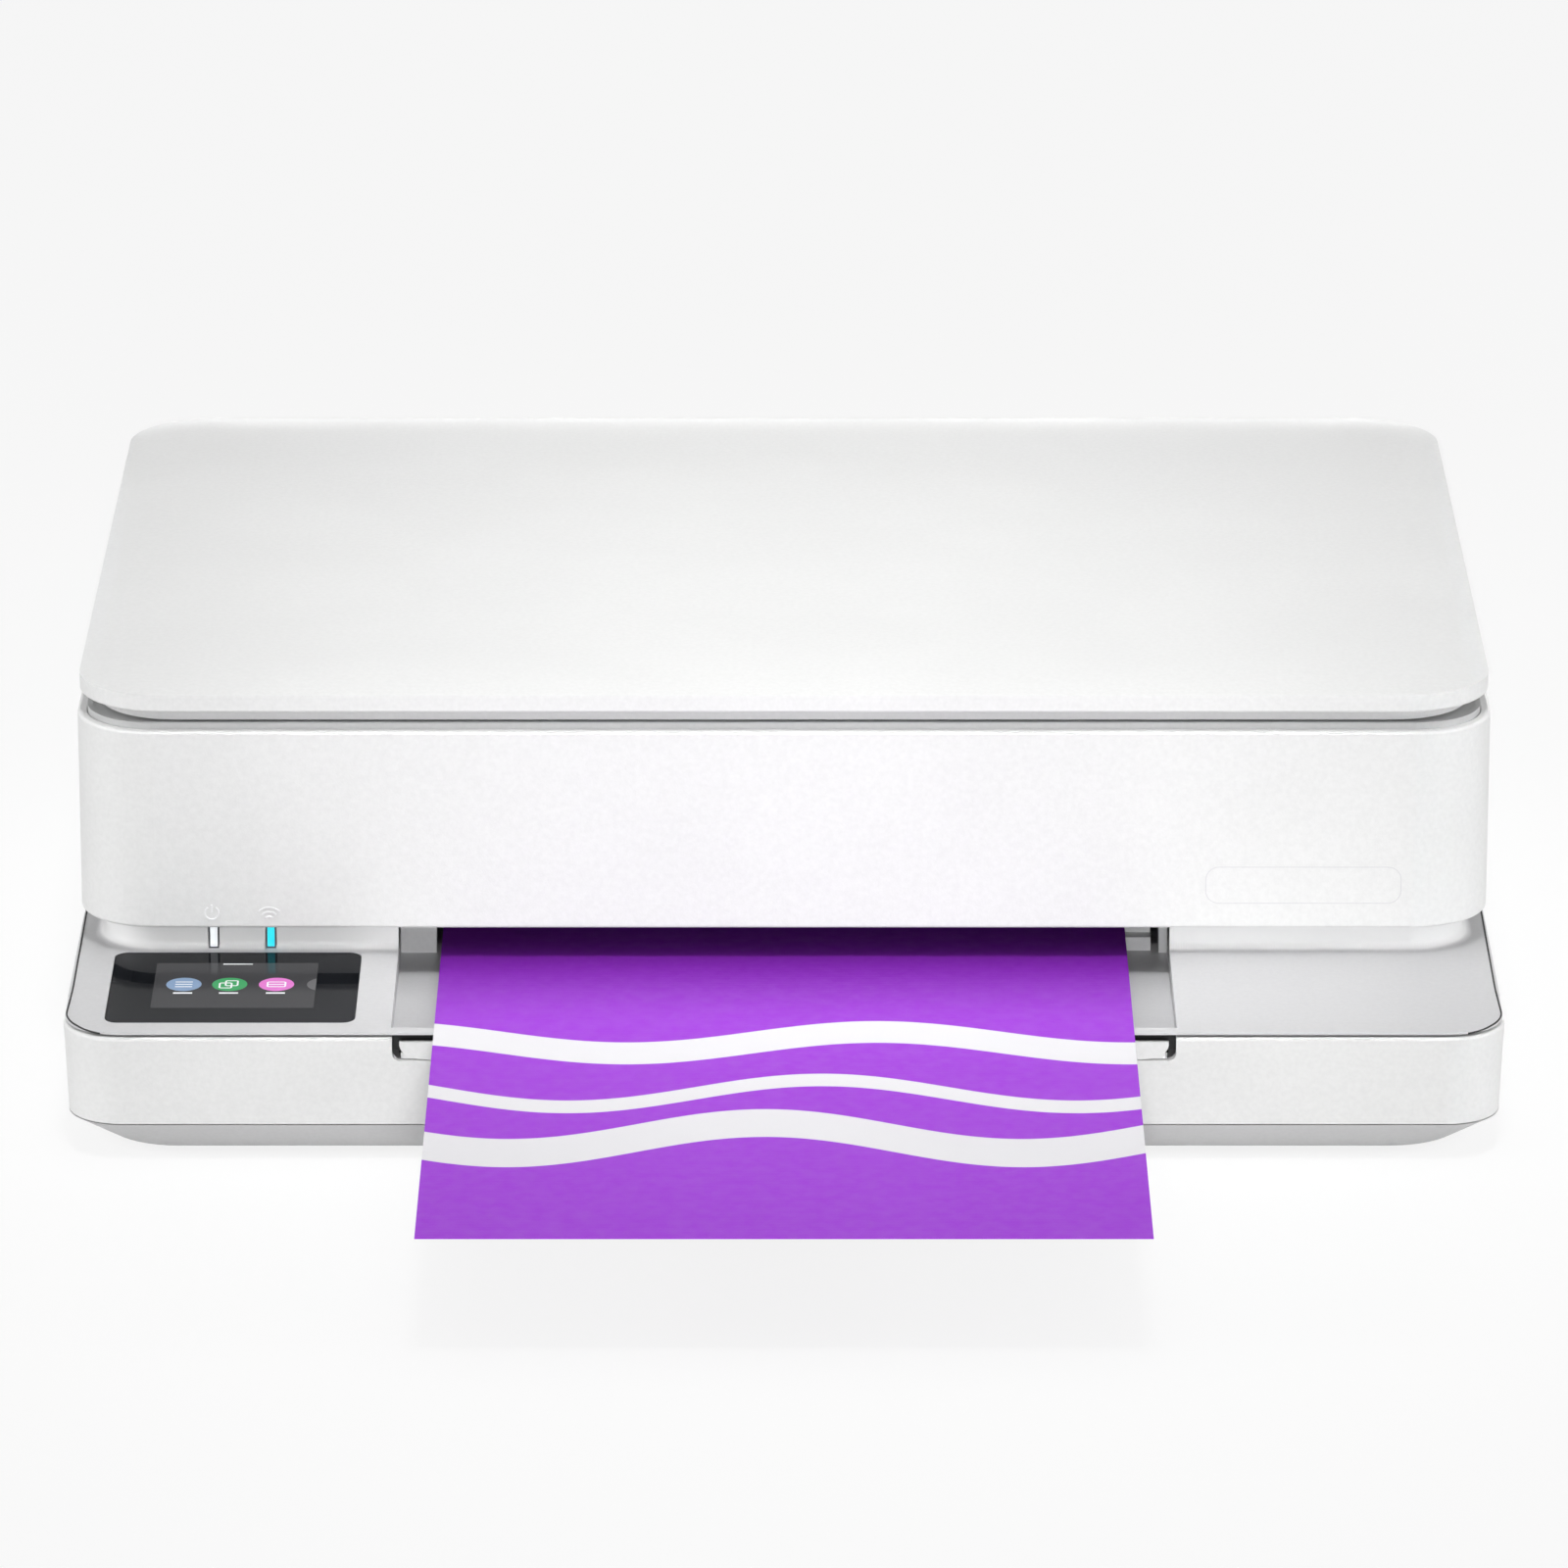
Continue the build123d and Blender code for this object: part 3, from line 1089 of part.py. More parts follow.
# Upper case: ring wall with the ledge that carries the scanner and the lugs of its hinge
with BuildPart() as upper_case:
    with BuildSketch(Plane.XY.offset(Z_SKIRT)):
        upper_plan(0)
    extrude(amount=FASCIA_RISE)
    fillet(upper_case.edges().group_by(Axis.Z)[0], UPPER_EDGE)
    fillet(upper_case.edges().group_by(Axis.Z)[-1], UPPER_EDGE)
    with BuildSketch(Plane.XY.offset(Z_SKIRT)):
        upper_plan(UPPER_WALL)
    extrude(amount=FASCIA_RISE, mode=Mode.SUBTRACT)
    with BuildSketch(Plane.XY.offset(Z_TUB - FLANGE_THICK)):
        upper_plan(UPPER_WALL - RUN)
        upper_plan(UPPER_WALL + FLANGE_WIDE, mode=Mode.SUBTRACT)
    extrude(amount=FLANGE_THICK)
    with BuildSketch(Plane.XZ.offset(-Y_UPPER_REAR - LAP)):
        with Locations((0, Z_SKIRT + REAR_SKIRT_LIFT / 2)):
            Rectangle(UPPER_WIDTH - 2 * UPPER_CORNER, REAR_SKIRT_LIFT)
    extrude(amount=UPPER_WALL + 2 * LAP, mode=Mode.SUBTRACT)
    for x in (-UPPER_HINGE_X, UPPER_HINGE_X):
        for side in (-1, 1):
            middle = x + side * (UPPER_EAR_WIDE / 2 + FIT + UPPER_LUG_WIDE / 2)
            with BuildSketch(Plane.YZ.offset(middle - UPPER_LUG_WIDE / 2)):
                with Locations((Y_UPPER_HINGE, Z_UPPER_HINGE)):
                    Circle(UPPER_EAR_RADIUS)
                with BuildLine():
                    Polyline(
                        (Y_UPPER_HINGE, Z_UPPER_HINGE - UPPER_LUG_DROP),
                        (Y_UPPER_REAR - UPPER_WALL + RUN, Z_UPPER_HINGE - UPPER_LUG_DROP),
                        (Y_UPPER_REAR - UPPER_WALL + RUN, Z_UPPER_HINGE + UPPER_LUG_RISE),
                        (Y_UPPER_HINGE, Z_UPPER_HINGE + UPPER_EAR_RADIUS),
                        close=True,
                    )
                make_face()
                with Locations((Y_UPPER_HINGE, Z_UPPER_HINGE)):
                    Circle(UPPER_PIN_RADIUS + RUN, mode=Mode.SUBTRACT)
            extrude(amount=UPPER_LUG_WIDE)
finish(upper_case, "upper_case")

with BuildPart() as module_hinge_pins:
    pin_half = UPPER_EAR_WIDE / 2 + FIT + UPPER_LUG_WIDE
    for x in (-UPPER_HINGE_X, UPPER_HINGE_X):
        with BuildSketch(Plane.YZ.offset(x - pin_half)):
            with Locations((Y_UPPER_HINGE, Z_UPPER_HINGE)):
                Circle(UPPER_PIN_RADIUS)
        extrude(amount=2 * pin_half)
finish(module_hinge_pins, "module_hinge_pins")

# Scanner tub with the saddles of the scan rail
RAIL_Z = Z_TUB + TUB_FLOOR + RAIL_LIFT
TUB_INSET = UPPER_WALL + FIT
SADDLE_X = UPPER_WIDTH / 2 - TUB_INSET - TUB_WALL - SADDLE_WIDE / 2
with BuildPart() as scanner_tub:
    with BuildSketch(Plane.XY.offset(Z_TUB)):
        upper_plan(TUB_INSET)
    extrude(amount=TUB_RISE)
    with BuildSketch(Plane.XY.offset(Z_TUB + TUB_FLOOR)):
        upper_plan(TUB_INSET + TUB_WALL)
    extrude(amount=TUB_RISE - TUB_FLOOR, mode=Mode.SUBTRACT)
    for x in (-SADDLE_X, SADDLE_X):
        block(
            (x - SADDLE_WIDE / 2 - RUN, x + SADDLE_WIDE / 2 + RUN),
            (RAIL_Y - 2 * RAIL_RADIUS, RAIL_Y + 2 * RAIL_RADIUS),
            (Z_TUB + TUB_FLOOR - RUN, RAIL_Z + 2 * RAIL_RADIUS),
        )
        cross_rod(
            (x - SADDLE_WIDE / 2 - LAP / 2, x + SADDLE_WIDE / 2 + LAP / 2),
            RAIL_Y,
            RAIL_Z,
            RAIL_RADIUS + RUN / 2,
            mode=Mode.SUBTRACT,
        )
finish(scanner_tub, "scanner_tub")

with BuildPart() as scan_rail:
    rail_half = SADDLE_X + SADDLE_WIDE / 2
    cross_rod((-rail_half, rail_half), RAIL_Y, RAIL_Z, RAIL_RADIUS)
finish(scan_rail, "scan_rail")

# Scan head: bar under the glass on a slider block that runs on the rail
with BuildPart() as scan_head:
    head_top = Z_TUB_TOP - HEAD_GAP
    with BuildSketch(Plane.XZ.offset(-RAIL_Y - HEAD_LONG / 2)):
        with Locations((HEAD_X, head_top - HEAD_DEEP / 2)):
            RectangleRounded(HEAD_WIDE, HEAD_DEEP, HEAD_EDGE)
    extrude(amount=HEAD_LONG)
    block(
        (HEAD_X - HEAD_WIDE / 2, HEAD_X + HEAD_WIDE / 2),
        (RAIL_Y - SLIDER_DEEP / 2, RAIL_Y + SLIDER_DEEP / 2),
        (RAIL_Z - RAIL_RADIUS - SLIDER_WALL, head_top - HEAD_EDGE),
    )
    cross_rod(
        (HEAD_X - HEAD_WIDE / 2 - LAP, HEAD_X + HEAD_WIDE / 2 + LAP),
        RAIL_Y,
        RAIL_Z,
        RAIL_RADIUS + RUN,
        mode=Mode.SUBTRACT,
    )
finish(scan_head, "scan_head")

# Scanner bezel: rebated window, raised outer rim and the posts of the lid hinge
with BuildPart() as scanner_frame:
    with BuildSketch(Plane.XY.offset(Z_TUB_TOP)):
        upper_plan(TUB_INSET)
        with Locations((0, GLASS_Y)):
            Rectangle(GLASS_WIDE - 2 * GLASS_LEDGE, GLASS_LONG - 2 * GLASS_LEDGE, mode=Mode.SUBTRACT)
    extrude(amount=BEZEL_THICK)
    with BuildSketch(Plane.XY.offset(Z_BEZEL - GLASS_THICK)):
        with Locations((0, GLASS_Y)):
            Rectangle(GLASS_WIDE + FIT, GLASS_LONG + FIT)
    extrude(amount=GLASS_THICK, mode=Mode.SUBTRACT)
    with BuildSketch(Plane.XY.offset(Z_BEZEL - RUN)):
        upper_plan(TUB_INSET)
        upper_plan(TUB_INSET + RIM_WIDE, mode=Mode.SUBTRACT)
    extrude(amount=RIM_RISE + RUN)
    for x in (-LID_HINGE_X, LID_HINGE_X):
        with BuildSketch(Plane.YZ.offset(x - LID_POST_WIDE / 2)):
            with Locations((Y_LID_HINGE, Z_LID_HINGE)):
                Circle(LID_POST_RADIUS)
            with Locations((Y_LID_HINGE, (Z_LID_HINGE + Z_BEZEL) / 2)):
                Rectangle(2 * LID_POST_RADIUS, Z_LID_HINGE - Z_BEZEL + RUN)
        extrude(amount=LID_POST_WIDE)
        pin_reach = LID_POST_WIDE / 2 + FIT + LID_EAR_WIDE
        cross_rod((x - pin_reach, x + pin_reach), Y_LID_HINGE, Z_LID_HINGE, LID_PIN_RADIUS)
finish(scanner_frame, "scanner_frame")

with BuildPart() as scanner_glass:
    with BuildSketch(Plane.XY.offset(Z_BEZEL - GLASS_THICK)):
        with Locations((0, GLASS_Y)):
            Rectangle(GLASS_WIDE, GLASS_LONG)
    extrude(amount=GLASS_THICK)
finish(scanner_glass, "scanner_glass")

# Lid: rim, crowned top and hollow underside, notched at the rear for the hinge posts
NOTCH_REACH = LID_POST_WIDE / 2 + 2 * FIT + LID_EAR_WIDE + LID_NOTCH_GAP
with BuildPart() as lid_cover:
    with BuildSketch(Plane.XY.offset(Z_RIM)):
        lid_plan(0)
    extrude(amount=LID_RISE)
    for inset, share in CROWN_STEPS:
        with BuildSketch(Plane.XY.offset(Z_LID_TOP + share * LID_CROWN)):
            lid_plan(inset)
    loft()
    fillet(lid_cover.edges().group_by(Axis.Z)[0], LID_EDGE)
    with BuildSketch(Plane.XY.offset(Z_RIM)):
        lid_plan(LID_WALL)
    extrude(amount=Z_CEILING - Z_RIM, mode=Mode.SUBTRACT)
    for x in (-LID_HINGE_X, LID_HINGE_X):
        block(
            (x - NOTCH_REACH, x + NOTCH_REACH),
            (Y_LID_REAR - LID_WALL - LAP, Y_LID_REAR + LAP),
            (Z_RIM - LAP, Z_CEILING),
            mode=Mode.SUBTRACT,
        )
finish(lid_cover, "lid_cover")

# Lid liner: shallow tray under the lid with a pocket for the pad and the ears of the hinge
with BuildPart() as lid_liner:
    with BuildSketch(Plane.XY.offset(Z_LINER)):
        lid_plan(LINER_INSET)
    extrude(amount=Z_CEILING - Z_LINER)
    with BuildSketch(Plane.XY.offset(Z_LINER + LINER_FLOOR)):
        lid_plan(LINER_INSET + LINER_WALL)
    extrude(amount=Z_CEILING - Z_LINER - LINER_FLOOR, mode=Mode.SUBTRACT)
    with BuildSketch(Plane.XY.offset(Z_LINER)):
        with Locations((0, GLASS_Y)):
            RectangleRounded(GLASS_WIDE, GLASS_LONG, PAD_CORNER)
    extrude(amount=PAD_SINK, mode=Mode.SUBTRACT)
    for x in (-LID_HINGE_X, LID_HINGE_X):
        block(
            (x - NOTCH_REACH, x + NOTCH_REACH),
            (Y_LID_HINGE - LID_NOTCH_DEEP, Y_LID_REAR),
            (Z_LINER - LAP, Z_CEILING + LAP),
            mode=Mode.SUBTRACT,
        )
        for side in (-1, 1):
            middle = x + side * (LID_POST_WIDE / 2 + FIT + LID_EAR_WIDE / 2)
            with BuildSketch(Plane.YZ.offset(middle - LID_EAR_WIDE / 2)):
                with Locations((Y_LID_HINGE, Z_LID_HINGE)):
                    Circle(LID_POST_RADIUS)
                with Locations((Y_LID_HINGE - LID_NOTCH_DEEP / 2 - RUN, Z_LID_HINGE)):
                    Rectangle(LID_NOTCH_DEEP + 2 * RUN, 2 * LID_POST_RADIUS)
                with Locations((Y_LID_HINGE, Z_LID_HINGE)):
                    Circle(LID_PIN_RADIUS + RUN, mode=Mode.SUBTRACT)
            extrude(amount=LID_EAR_WIDE)
finish(lid_liner, "lid_liner")

with BuildPart() as lid_pad:
    pad_low = Z_FASCIA_TOP + PAD_GAP + RIM_RISE
    with BuildSketch(Plane.XY.offset(pad_low)):
        with Locations((0, GLASS_Y)):
            RectangleRounded(GLASS_WIDE - 2 * FIT, GLASS_LONG - 2 * FIT, PAD_CORNER)
    extrude(amount=Z_LINER + PAD_SINK - pad_low)
finish(lid_pad, "lid_pad")

# Print chassis: two end plates that carry the shafts, joined by a ribbed platen
PLATES = ((PLATE_LEFT, PLATE_LEFT + PLATE_THICK), (PLATE_RIGHT - PLATE_THICK, PLATE_RIGHT))
PLATEN_TOP = sheet_height(PLATEN_FRONT) - SHEET_THICK / 2 - PLATEN_DROP - PLATEN_RIB_RISE
PLATE_TOWER = CARRIAGE_STEP - PLATE_CLEAR
PLATE_DIP = CARRIAGE_FOOT - PLATE_CLEAR
with BuildPart() as print_chassis:
    for plate in PLATES:
        profile_along_x(
            [
                (PLATE_FRONT, Z_FLOOR),
                (PLATE_FRONT, PLATE_TOWER),
                (CARRIAGE_STEP_Y - PLATE_CLEAR, PLATE_TOWER),
                (CARRIAGE_STEP_Y - PLATE_CLEAR, PLATE_DIP),
                (RAIL_WEB_Y - PLATE_CLEAR, PLATE_DIP),
                (RAIL_WEB_Y - PLATE_CLEAR, RAIL_FOOT),
                (PLATE_REAR, RAIL_FOOT),
                (PLATE_REAR, Z_FLOOR),
                (PLATE_REAR - PLATE_LEG, Z_FLOOR),
                (PLATE_REAR - 2 * PLATE_LEG, Z_FLOOR + PLATE_ARCH),
                (PLATE_FRONT + 2 * PLATE_LEG, Z_FLOOR + PLATE_ARCH),
                (PLATE_FRONT + PLATE_LEG, Z_FLOOR),
            ],
            plate,
        )
    low = PLATEN_TOP - PLATEN_RISE
    inside = PLATEN_TOP - PLATEN_WALL
    profile_along_x(
        [
            (PLATEN_FRONT, low),
            (PLATEN_FRONT, PLATEN_TOP),
            (PLATEN_REAR, PLATEN_TOP),
            (PLATEN_REAR, low),
            (PLATEN_REAR - PLATEN_WALL, low),
            (PLATEN_REAR - PLATEN_WALL, inside),
            (PLATEN_FRONT + PLATEN_WALL, inside),
            (PLATEN_FRONT + PLATEN_WALL, low),
        ],
        (PLATES[0][1] - RUN, PLATES[1][0] + RUN),
    )
    with BuildSketch(Plane.XY.offset(PLATEN_TOP)):
        with Locations((0, (PLATEN_FRONT + PLATEN_REAR) / 2)):
            with GridLocations(PLATEN_PITCH, 0, PLATEN_RIBS, 1):
                Rectangle(PLATEN_RIB, PLATEN_REAR - PLATEN_FRONT)
    extrude(amount=PLATEN_RIB_RISE)
    cross_rod((GEAR_X - COLLAR, PLATES[0][0] + RUN), IDLER_Y, IDLER_Z, STUB_RADIUS)
    bore_span = (PLATE_LEFT - LAP, PLATE_RIGHT + LAP)
    cross_rod(bore_span, FEED_Y, FEED_Z, FEED_SHAFT + RUN, mode=Mode.SUBTRACT)
    cross_rod(bore_span, OUTPUT_Y, OUTPUT_Z, OUTPUT_SHAFT + RUN, mode=Mode.SUBTRACT)
    cross_rod(bore_span, PICK_Y, PICK_Z, PICK_SHAFT + RUN, mode=Mode.SUBTRACT)
finish(print_chassis, "print_chassis")

# Exit bar with its star wheels, between the towers of the end plates
with BuildPart() as star_wheel_bar:
    bar_span = (PLATES[0][1] + FIT, PLATES[1][0] - FIT)
    block(
        bar_span,
        (OUTPUT_Y - STAR_BAR_DEEP / 2, OUTPUT_Y + STAR_BAR_DEEP / 2),
        (STAR_BAR_Z, STAR_BAR_Z + STAR_BAR_THICK),
    )
    star_z = sheet_height(OUTPUT_Y) + SHEET_THICK / 2 + ROLL_GAP + STAR_RADIUS
    for star in range(STAR_WHEELS):
        x = STAR_PITCH * (star - (STAR_WHEELS - 1) / 2)
        cross_rod((x - STAR_WIDE / 2, x + STAR_WIDE / 2), OUTPUT_Y, star_z, STAR_RADIUS)
finish(star_wheel_bar, "star_wheel_bar")


def roller(y, z, shaft, radius, rolls, roll_long, pitch):
    """Shaft across the chassis with rubber rolls along it."""
    cross_rod((GEAR_X, PLATE_RIGHT + COLLAR), y, z, shaft)
    for roll in range(rolls):
        x = pitch * (roll - (rolls - 1) / 2)
        cross_rod((x - roll_long / 2, x + roll_long / 2), y, z, radius)


with BuildPart() as feed_roller:
    roller(FEED_Y, FEED_Z, FEED_SHAFT, FEED_RADIUS, FEED_SLEEVES, FEED_SLEEVE_LONG, FEED_PITCH_X)
finish(feed_roller, "feed_roller")

with BuildPart() as output_roller:
    roller(OUTPUT_Y, OUTPUT_Z, OUTPUT_SHAFT, OUTPUT_RADIUS, OUTPUT_ROLLS, OUTPUT_ROLL_LONG, OUTPUT_PITCH_X)
finish(output_roller, "output_roller")

# Gear train on the left plate: each gear is turned so that its gap takes the tooth of the one before
FEED_TURN = 0.0
IDLER_TURN = meshing_turn(FEED_TEETH, FEED_TURN, IDLER_TEETH, TRAIN_ANGLE)
OUTPUT_TURN = meshing_turn(IDLER_TEETH, IDLER_TURN, OUTPUT_TEETH, TRAIN_ANGLE)
PINION_TURN = meshing_turn(FEED_TEETH, FEED_TURN, PINION_TEETH, 0.0)

with BuildPart() as feed_gear:
    gear_blank(FEED_TEETH, FEED_TURN, FEED_Y, FEED_Z, FEED_SHAFT + RUN / 2)
finish(feed_gear, "feed_gear")

with BuildPart() as idler_gear:
    gear_blank(IDLER_TEETH, IDLER_TURN, IDLER_Y, IDLER_Z, STUB_RADIUS + RUN)
    with BuildSketch(Plane((GEAR_X, IDLER_Y, IDLER_Z), x_dir=(0, 1, 0), z_dir=(1, 0, 0))):
        Circle(IDLER_WEB_OUT)
        Circle(IDLER_WEB_IN, mode=Mode.SUBTRACT)
    extrude(amount=IDLER_WEB_SINK, mode=Mode.SUBTRACT)
finish(idler_gear, "idler_gear")

with BuildPart() as output_gear:
    gear_blank(OUTPUT_TEETH, OUTPUT_TURN, OUTPUT_Y, OUTPUT_Z, OUTPUT_SHAFT + RUN / 2)
finish(output_gear, "output_gear")

with BuildPart() as feed_pinion:
    gear_blank(PINION_TEETH, PINION_TURN, PINION_Y, PINION_Z, PULLEY_SHAFT + RUN)
finish(feed_pinion, "feed_pinion")


def motor_can(plane):
    """Small motor: flattened can with an end boss and a shaft, drawn along the plane's normal."""
    with BuildSketch(plane) as can:
        Circle(MOTOR_RADIUS)
        Rectangle(2 * MOTOR_RADIUS, 2 * MOTOR_FLAT, mode=Mode.INTERSECT)
    extrude(can.sketch, amount=-MOTOR_LONG)
    with BuildSketch(plane.offset(-MOTOR_LONG)) as boss:
        Circle(MOTOR_BOSS)
    extrude(boss.sketch, amount=-MOTOR_BOSS_LONG)


with BuildPart() as feed_motor:
    motor_plane = Plane((GEAR_X - GEAR_GAP, PINION_Y, PINION_Z), x_dir=(0, 1, 0), z_dir=(1, 0, 0))
    motor_can(motor_plane)
    with BuildSketch(motor_plane):
        Circle(PULLEY_SHAFT)
    extrude(amount=GEAR_GAP + GEAR_WIDE)
    block(
        (GEAR_X - GEAR_GAP - MOTOR_LONG + COLLAR, GEAR_X - GEAR_GAP - COLLAR),
        (PINION_Y - SADDLE_HALF, PINION_Y + SADDLE_HALF),
        (Z_FLOOR, PINION_Z - MOTOR_FLAT + COLLAR),
    )
finish(feed_motor, "feed_motor")

# Pick arm on its drive shaft, with a fork round the pick roller
with BuildPart() as pick_arm:
    fork = PICK_WIDE / 2 + FIT
    cross_rod((PLATE_LEFT - COLLAR, PLATE_RIGHT + COLLAR), PICK_Y, PICK_Z, PICK_SHAFT)
    cross_rod((-fork - PICK_FORK, fork + PICK_FORK), PICK_Y, PICK_Z, PICK_BOSS)
    for x in (-fork - PICK_FORK, fork):
        with BuildSketch(Plane.YZ.offset(x)):
            middle = ((PICK_Y + PICK_ROLLER_Y) / 2, (PICK_Z + PICK_ROLLER_Z) / 2)
            SlotCenterPoint(middle, (PICK_ROLLER_Y, PICK_ROLLER_Z), 2 * PICK_ARM_HALF)
        extrude(amount=PICK_FORK)
    cross_rod((-fork - PICK_FORK, fork + PICK_FORK), PICK_ROLLER_Y, PICK_ROLLER_Z, PICK_PIN)
finish(pick_arm, "pick_arm")

with BuildPart() as pick_roller:
    cross_rod((-PICK_WIDE / 2, PICK_WIDE / 2), PICK_ROLLER_Y, PICK_ROLLER_Z, PICK_RADIUS)
    chamfer(pick_roller.edges().filter_by(GeomType.CIRCLE), PICK_EDGE)
    cross_rod((-PICK_WIDE, PICK_WIDE), PICK_ROLLER_Y, PICK_ROLLER_Z, PICK_PIN + RUN, mode=Mode.SUBTRACT)
finish(pick_roller, "pick_roller")

# Rear guide: the sheet turns up and forward round its inner face
with BuildPart() as rear_paper_guide:
    with BuildSketch(Plane.YZ):
        with BuildLine():
            Line((Y_BIN_REAR + TURN_WALL, TURN_Z - TURN_RADIUS), (TURN_Y, TURN_Z - TURN_RADIUS))
            RadiusArc((TURN_Y, TURN_Z - TURN_RADIUS), (TURN_Y, TURN_Z + TURN_RADIUS), -TURN_RADIUS)
            Line((TURN_Y, TURN_Z + TURN_RADIUS), (TURN_END_Y, sheet_height(TURN_END_Y) + TURN_END_RISE))
        trace(line_width=TURN_WALL)
    extrude(amount=TURN_HALF, both=True)
    for x in (-TURN_LEG_X, 0, TURN_LEG_X):
        with BuildSketch(Plane.YZ.offset(x - TURN_LEG_WIDE / 2)):
            with Locations((TURN_Y + TURN_LEG_REAR / 2, (Z_FLOOR + TURN_Z) / 2)):
                Rectangle(TURN_LEG_REAR, TURN_Z - Z_FLOOR)
            with Locations((TURN_Y, TURN_Z)):
                Circle(TURN_RADIUS, mode=Mode.SUBTRACT)
            with Locations((TURN_Y + TURN_LEG_REAR, Z_FLOOR)):
                Rectangle(2 * BASE_INSET, 2 * BASE_RISE, mode=Mode.SUBTRACT)
        extrude(amount=TURN_LEG_WIDE)
finish(rear_paper_guide, "rear_paper_guide")

# Carriage rail: folded sheet with a foot flange and the stub axle of the idler pulley
with BuildPart() as carriage_rail:
    web_rear = RAIL_WEB_Y + RAIL_SHEET
    profile_along_x(
        [
            (RAIL_WEB_Y, RAIL_FOOT),
            (RAIL_WEB_Y, RAIL_HEAD),
            (web_rear, RAIL_HEAD),
            (web_rear, RAIL_FOOT + RAIL_SHEET),
            (web_rear + RAIL_FLANGE, RAIL_FOOT + RAIL_SHEET),
            (web_rear + RAIL_FLANGE, RAIL_FOOT),
        ],
        (-RAIL_HALF, RAIL_HALF),
    )
    with BuildSketch(Plane.XZ.offset(-web_rear - LAP)):
        with Locations((PULLEY_X, PULLEY_Z)):
            Circle(MOTOR_BOSS)
        with Locations((0, PULLEY_Z)):
            with GridLocations(RAIL_SLOT_PITCH, 0, RAIL_SLOTS, 1):
                SlotOverall(RAIL_SLOT_LONG, RAIL_SLOT_TALL)
    extrude(amount=RAIL_SHEET + 2 * LAP, mode=Mode.SUBTRACT)
    long_rod((Y_BELT - PULLEY_RIM, RAIL_WEB_Y + RUN), -PULLEY_X, PULLEY_Z, PULLEY_SHAFT)
finish(carriage_rail, "carriage_rail")

with BuildPart() as carriage_motor:
    motor_plane = Plane((PULLEY_X, RAIL_WEB_Y + RAIL_SHEET, PULLEY_Z), x_dir=(1, 0, 0), z_dir=(0, -1, 0))
    motor_can(motor_plane)
    long_rod((Y_BELT - PULLEY_RIM, RAIL_WEB_Y + RAIL_SHEET + RUN), PULLEY_X, PULLEY_Z, PULLEY_SHAFT)
finish(carriage_motor, "carriage_motor")


def pulley(x):
    """Flanged belt pulley on a shaft along Y."""
    belt_rear = Y_BELT + BELT_WIDE
    long_rod((Y_BELT - PULLEY_RIM, belt_rear + PULLEY_RIM), x, PULLEY_Z, PULLEY_RADIUS)
    long_rod((Y_BELT - PULLEY_RIM, Y_BELT - RUN), x, PULLEY_Z, PULLEY_FLANGE)
    long_rod((belt_rear + RUN, belt_rear + PULLEY_RIM), x, PULLEY_Z, PULLEY_FLANGE)
    long_rod((Y_BELT - LAP, belt_rear + LAP), x, PULLEY_Z, PULLEY_SHAFT + RUN, mode=Mode.SUBTRACT)


with BuildPart() as motor_pulley:
    pulley(PULLEY_X)
finish(motor_pulley, "motor_pulley")

with BuildPart() as idler_pulley:
    pulley(-PULLEY_X)
finish(idler_pulley, "idler_pulley")

with BuildPart() as carriage_belt:
    belt_inner = PULLEY_RADIUS + BELT_GAP
    with BuildSketch(Plane.XZ.offset(-Y_BELT - BELT_WIDE)):
        with Locations((0, PULLEY_Z)):
            SlotCenterToCenter(2 * PULLEY_X, 2 * (belt_inner + BELT_THICK))
            SlotCenterToCenter(2 * PULLEY_X, 2 * belt_inner, mode=Mode.SUBTRACT)
    extrude(amount=BELT_WIDE)
finish(carriage_belt, "carriage_belt")

# Carriage: two bays with a low front wall, a hook over the rail and a belt clip
Z_BAY = CARRIAGE_FOOT + CARRIAGE_FLOOR
Z_BAY_STEP = CARRIAGE_STEP + CARRIAGE_FLOOR
Y_BAY_FRONT = CARRIAGE_FRONT + LATCH_THICK
Y_BAY_STEP = CARRIAGE_STEP_Y + CARRIAGE_WALL
Y_BAY_REAR = CARRIAGE_REAR - CARRIAGE_WALL
NOZZLE_Y = (Y_BAY_STEP + Y_BAY_REAR) / 2
CARRIAGE_SPAN = (CARRIAGE_X - CARRIAGE_WIDE / 2, CARRIAGE_X + CARRIAGE_WIDE / 2)


def bay_span(side, gap):
    """Places along X of the walls of one cartridge bay, drawn in by a gap."""
    middle = CARRIAGE_X + side * BAY_X
    return (middle - BAY_WIDE / 2 + gap, middle + BAY_WIDE / 2 - gap)


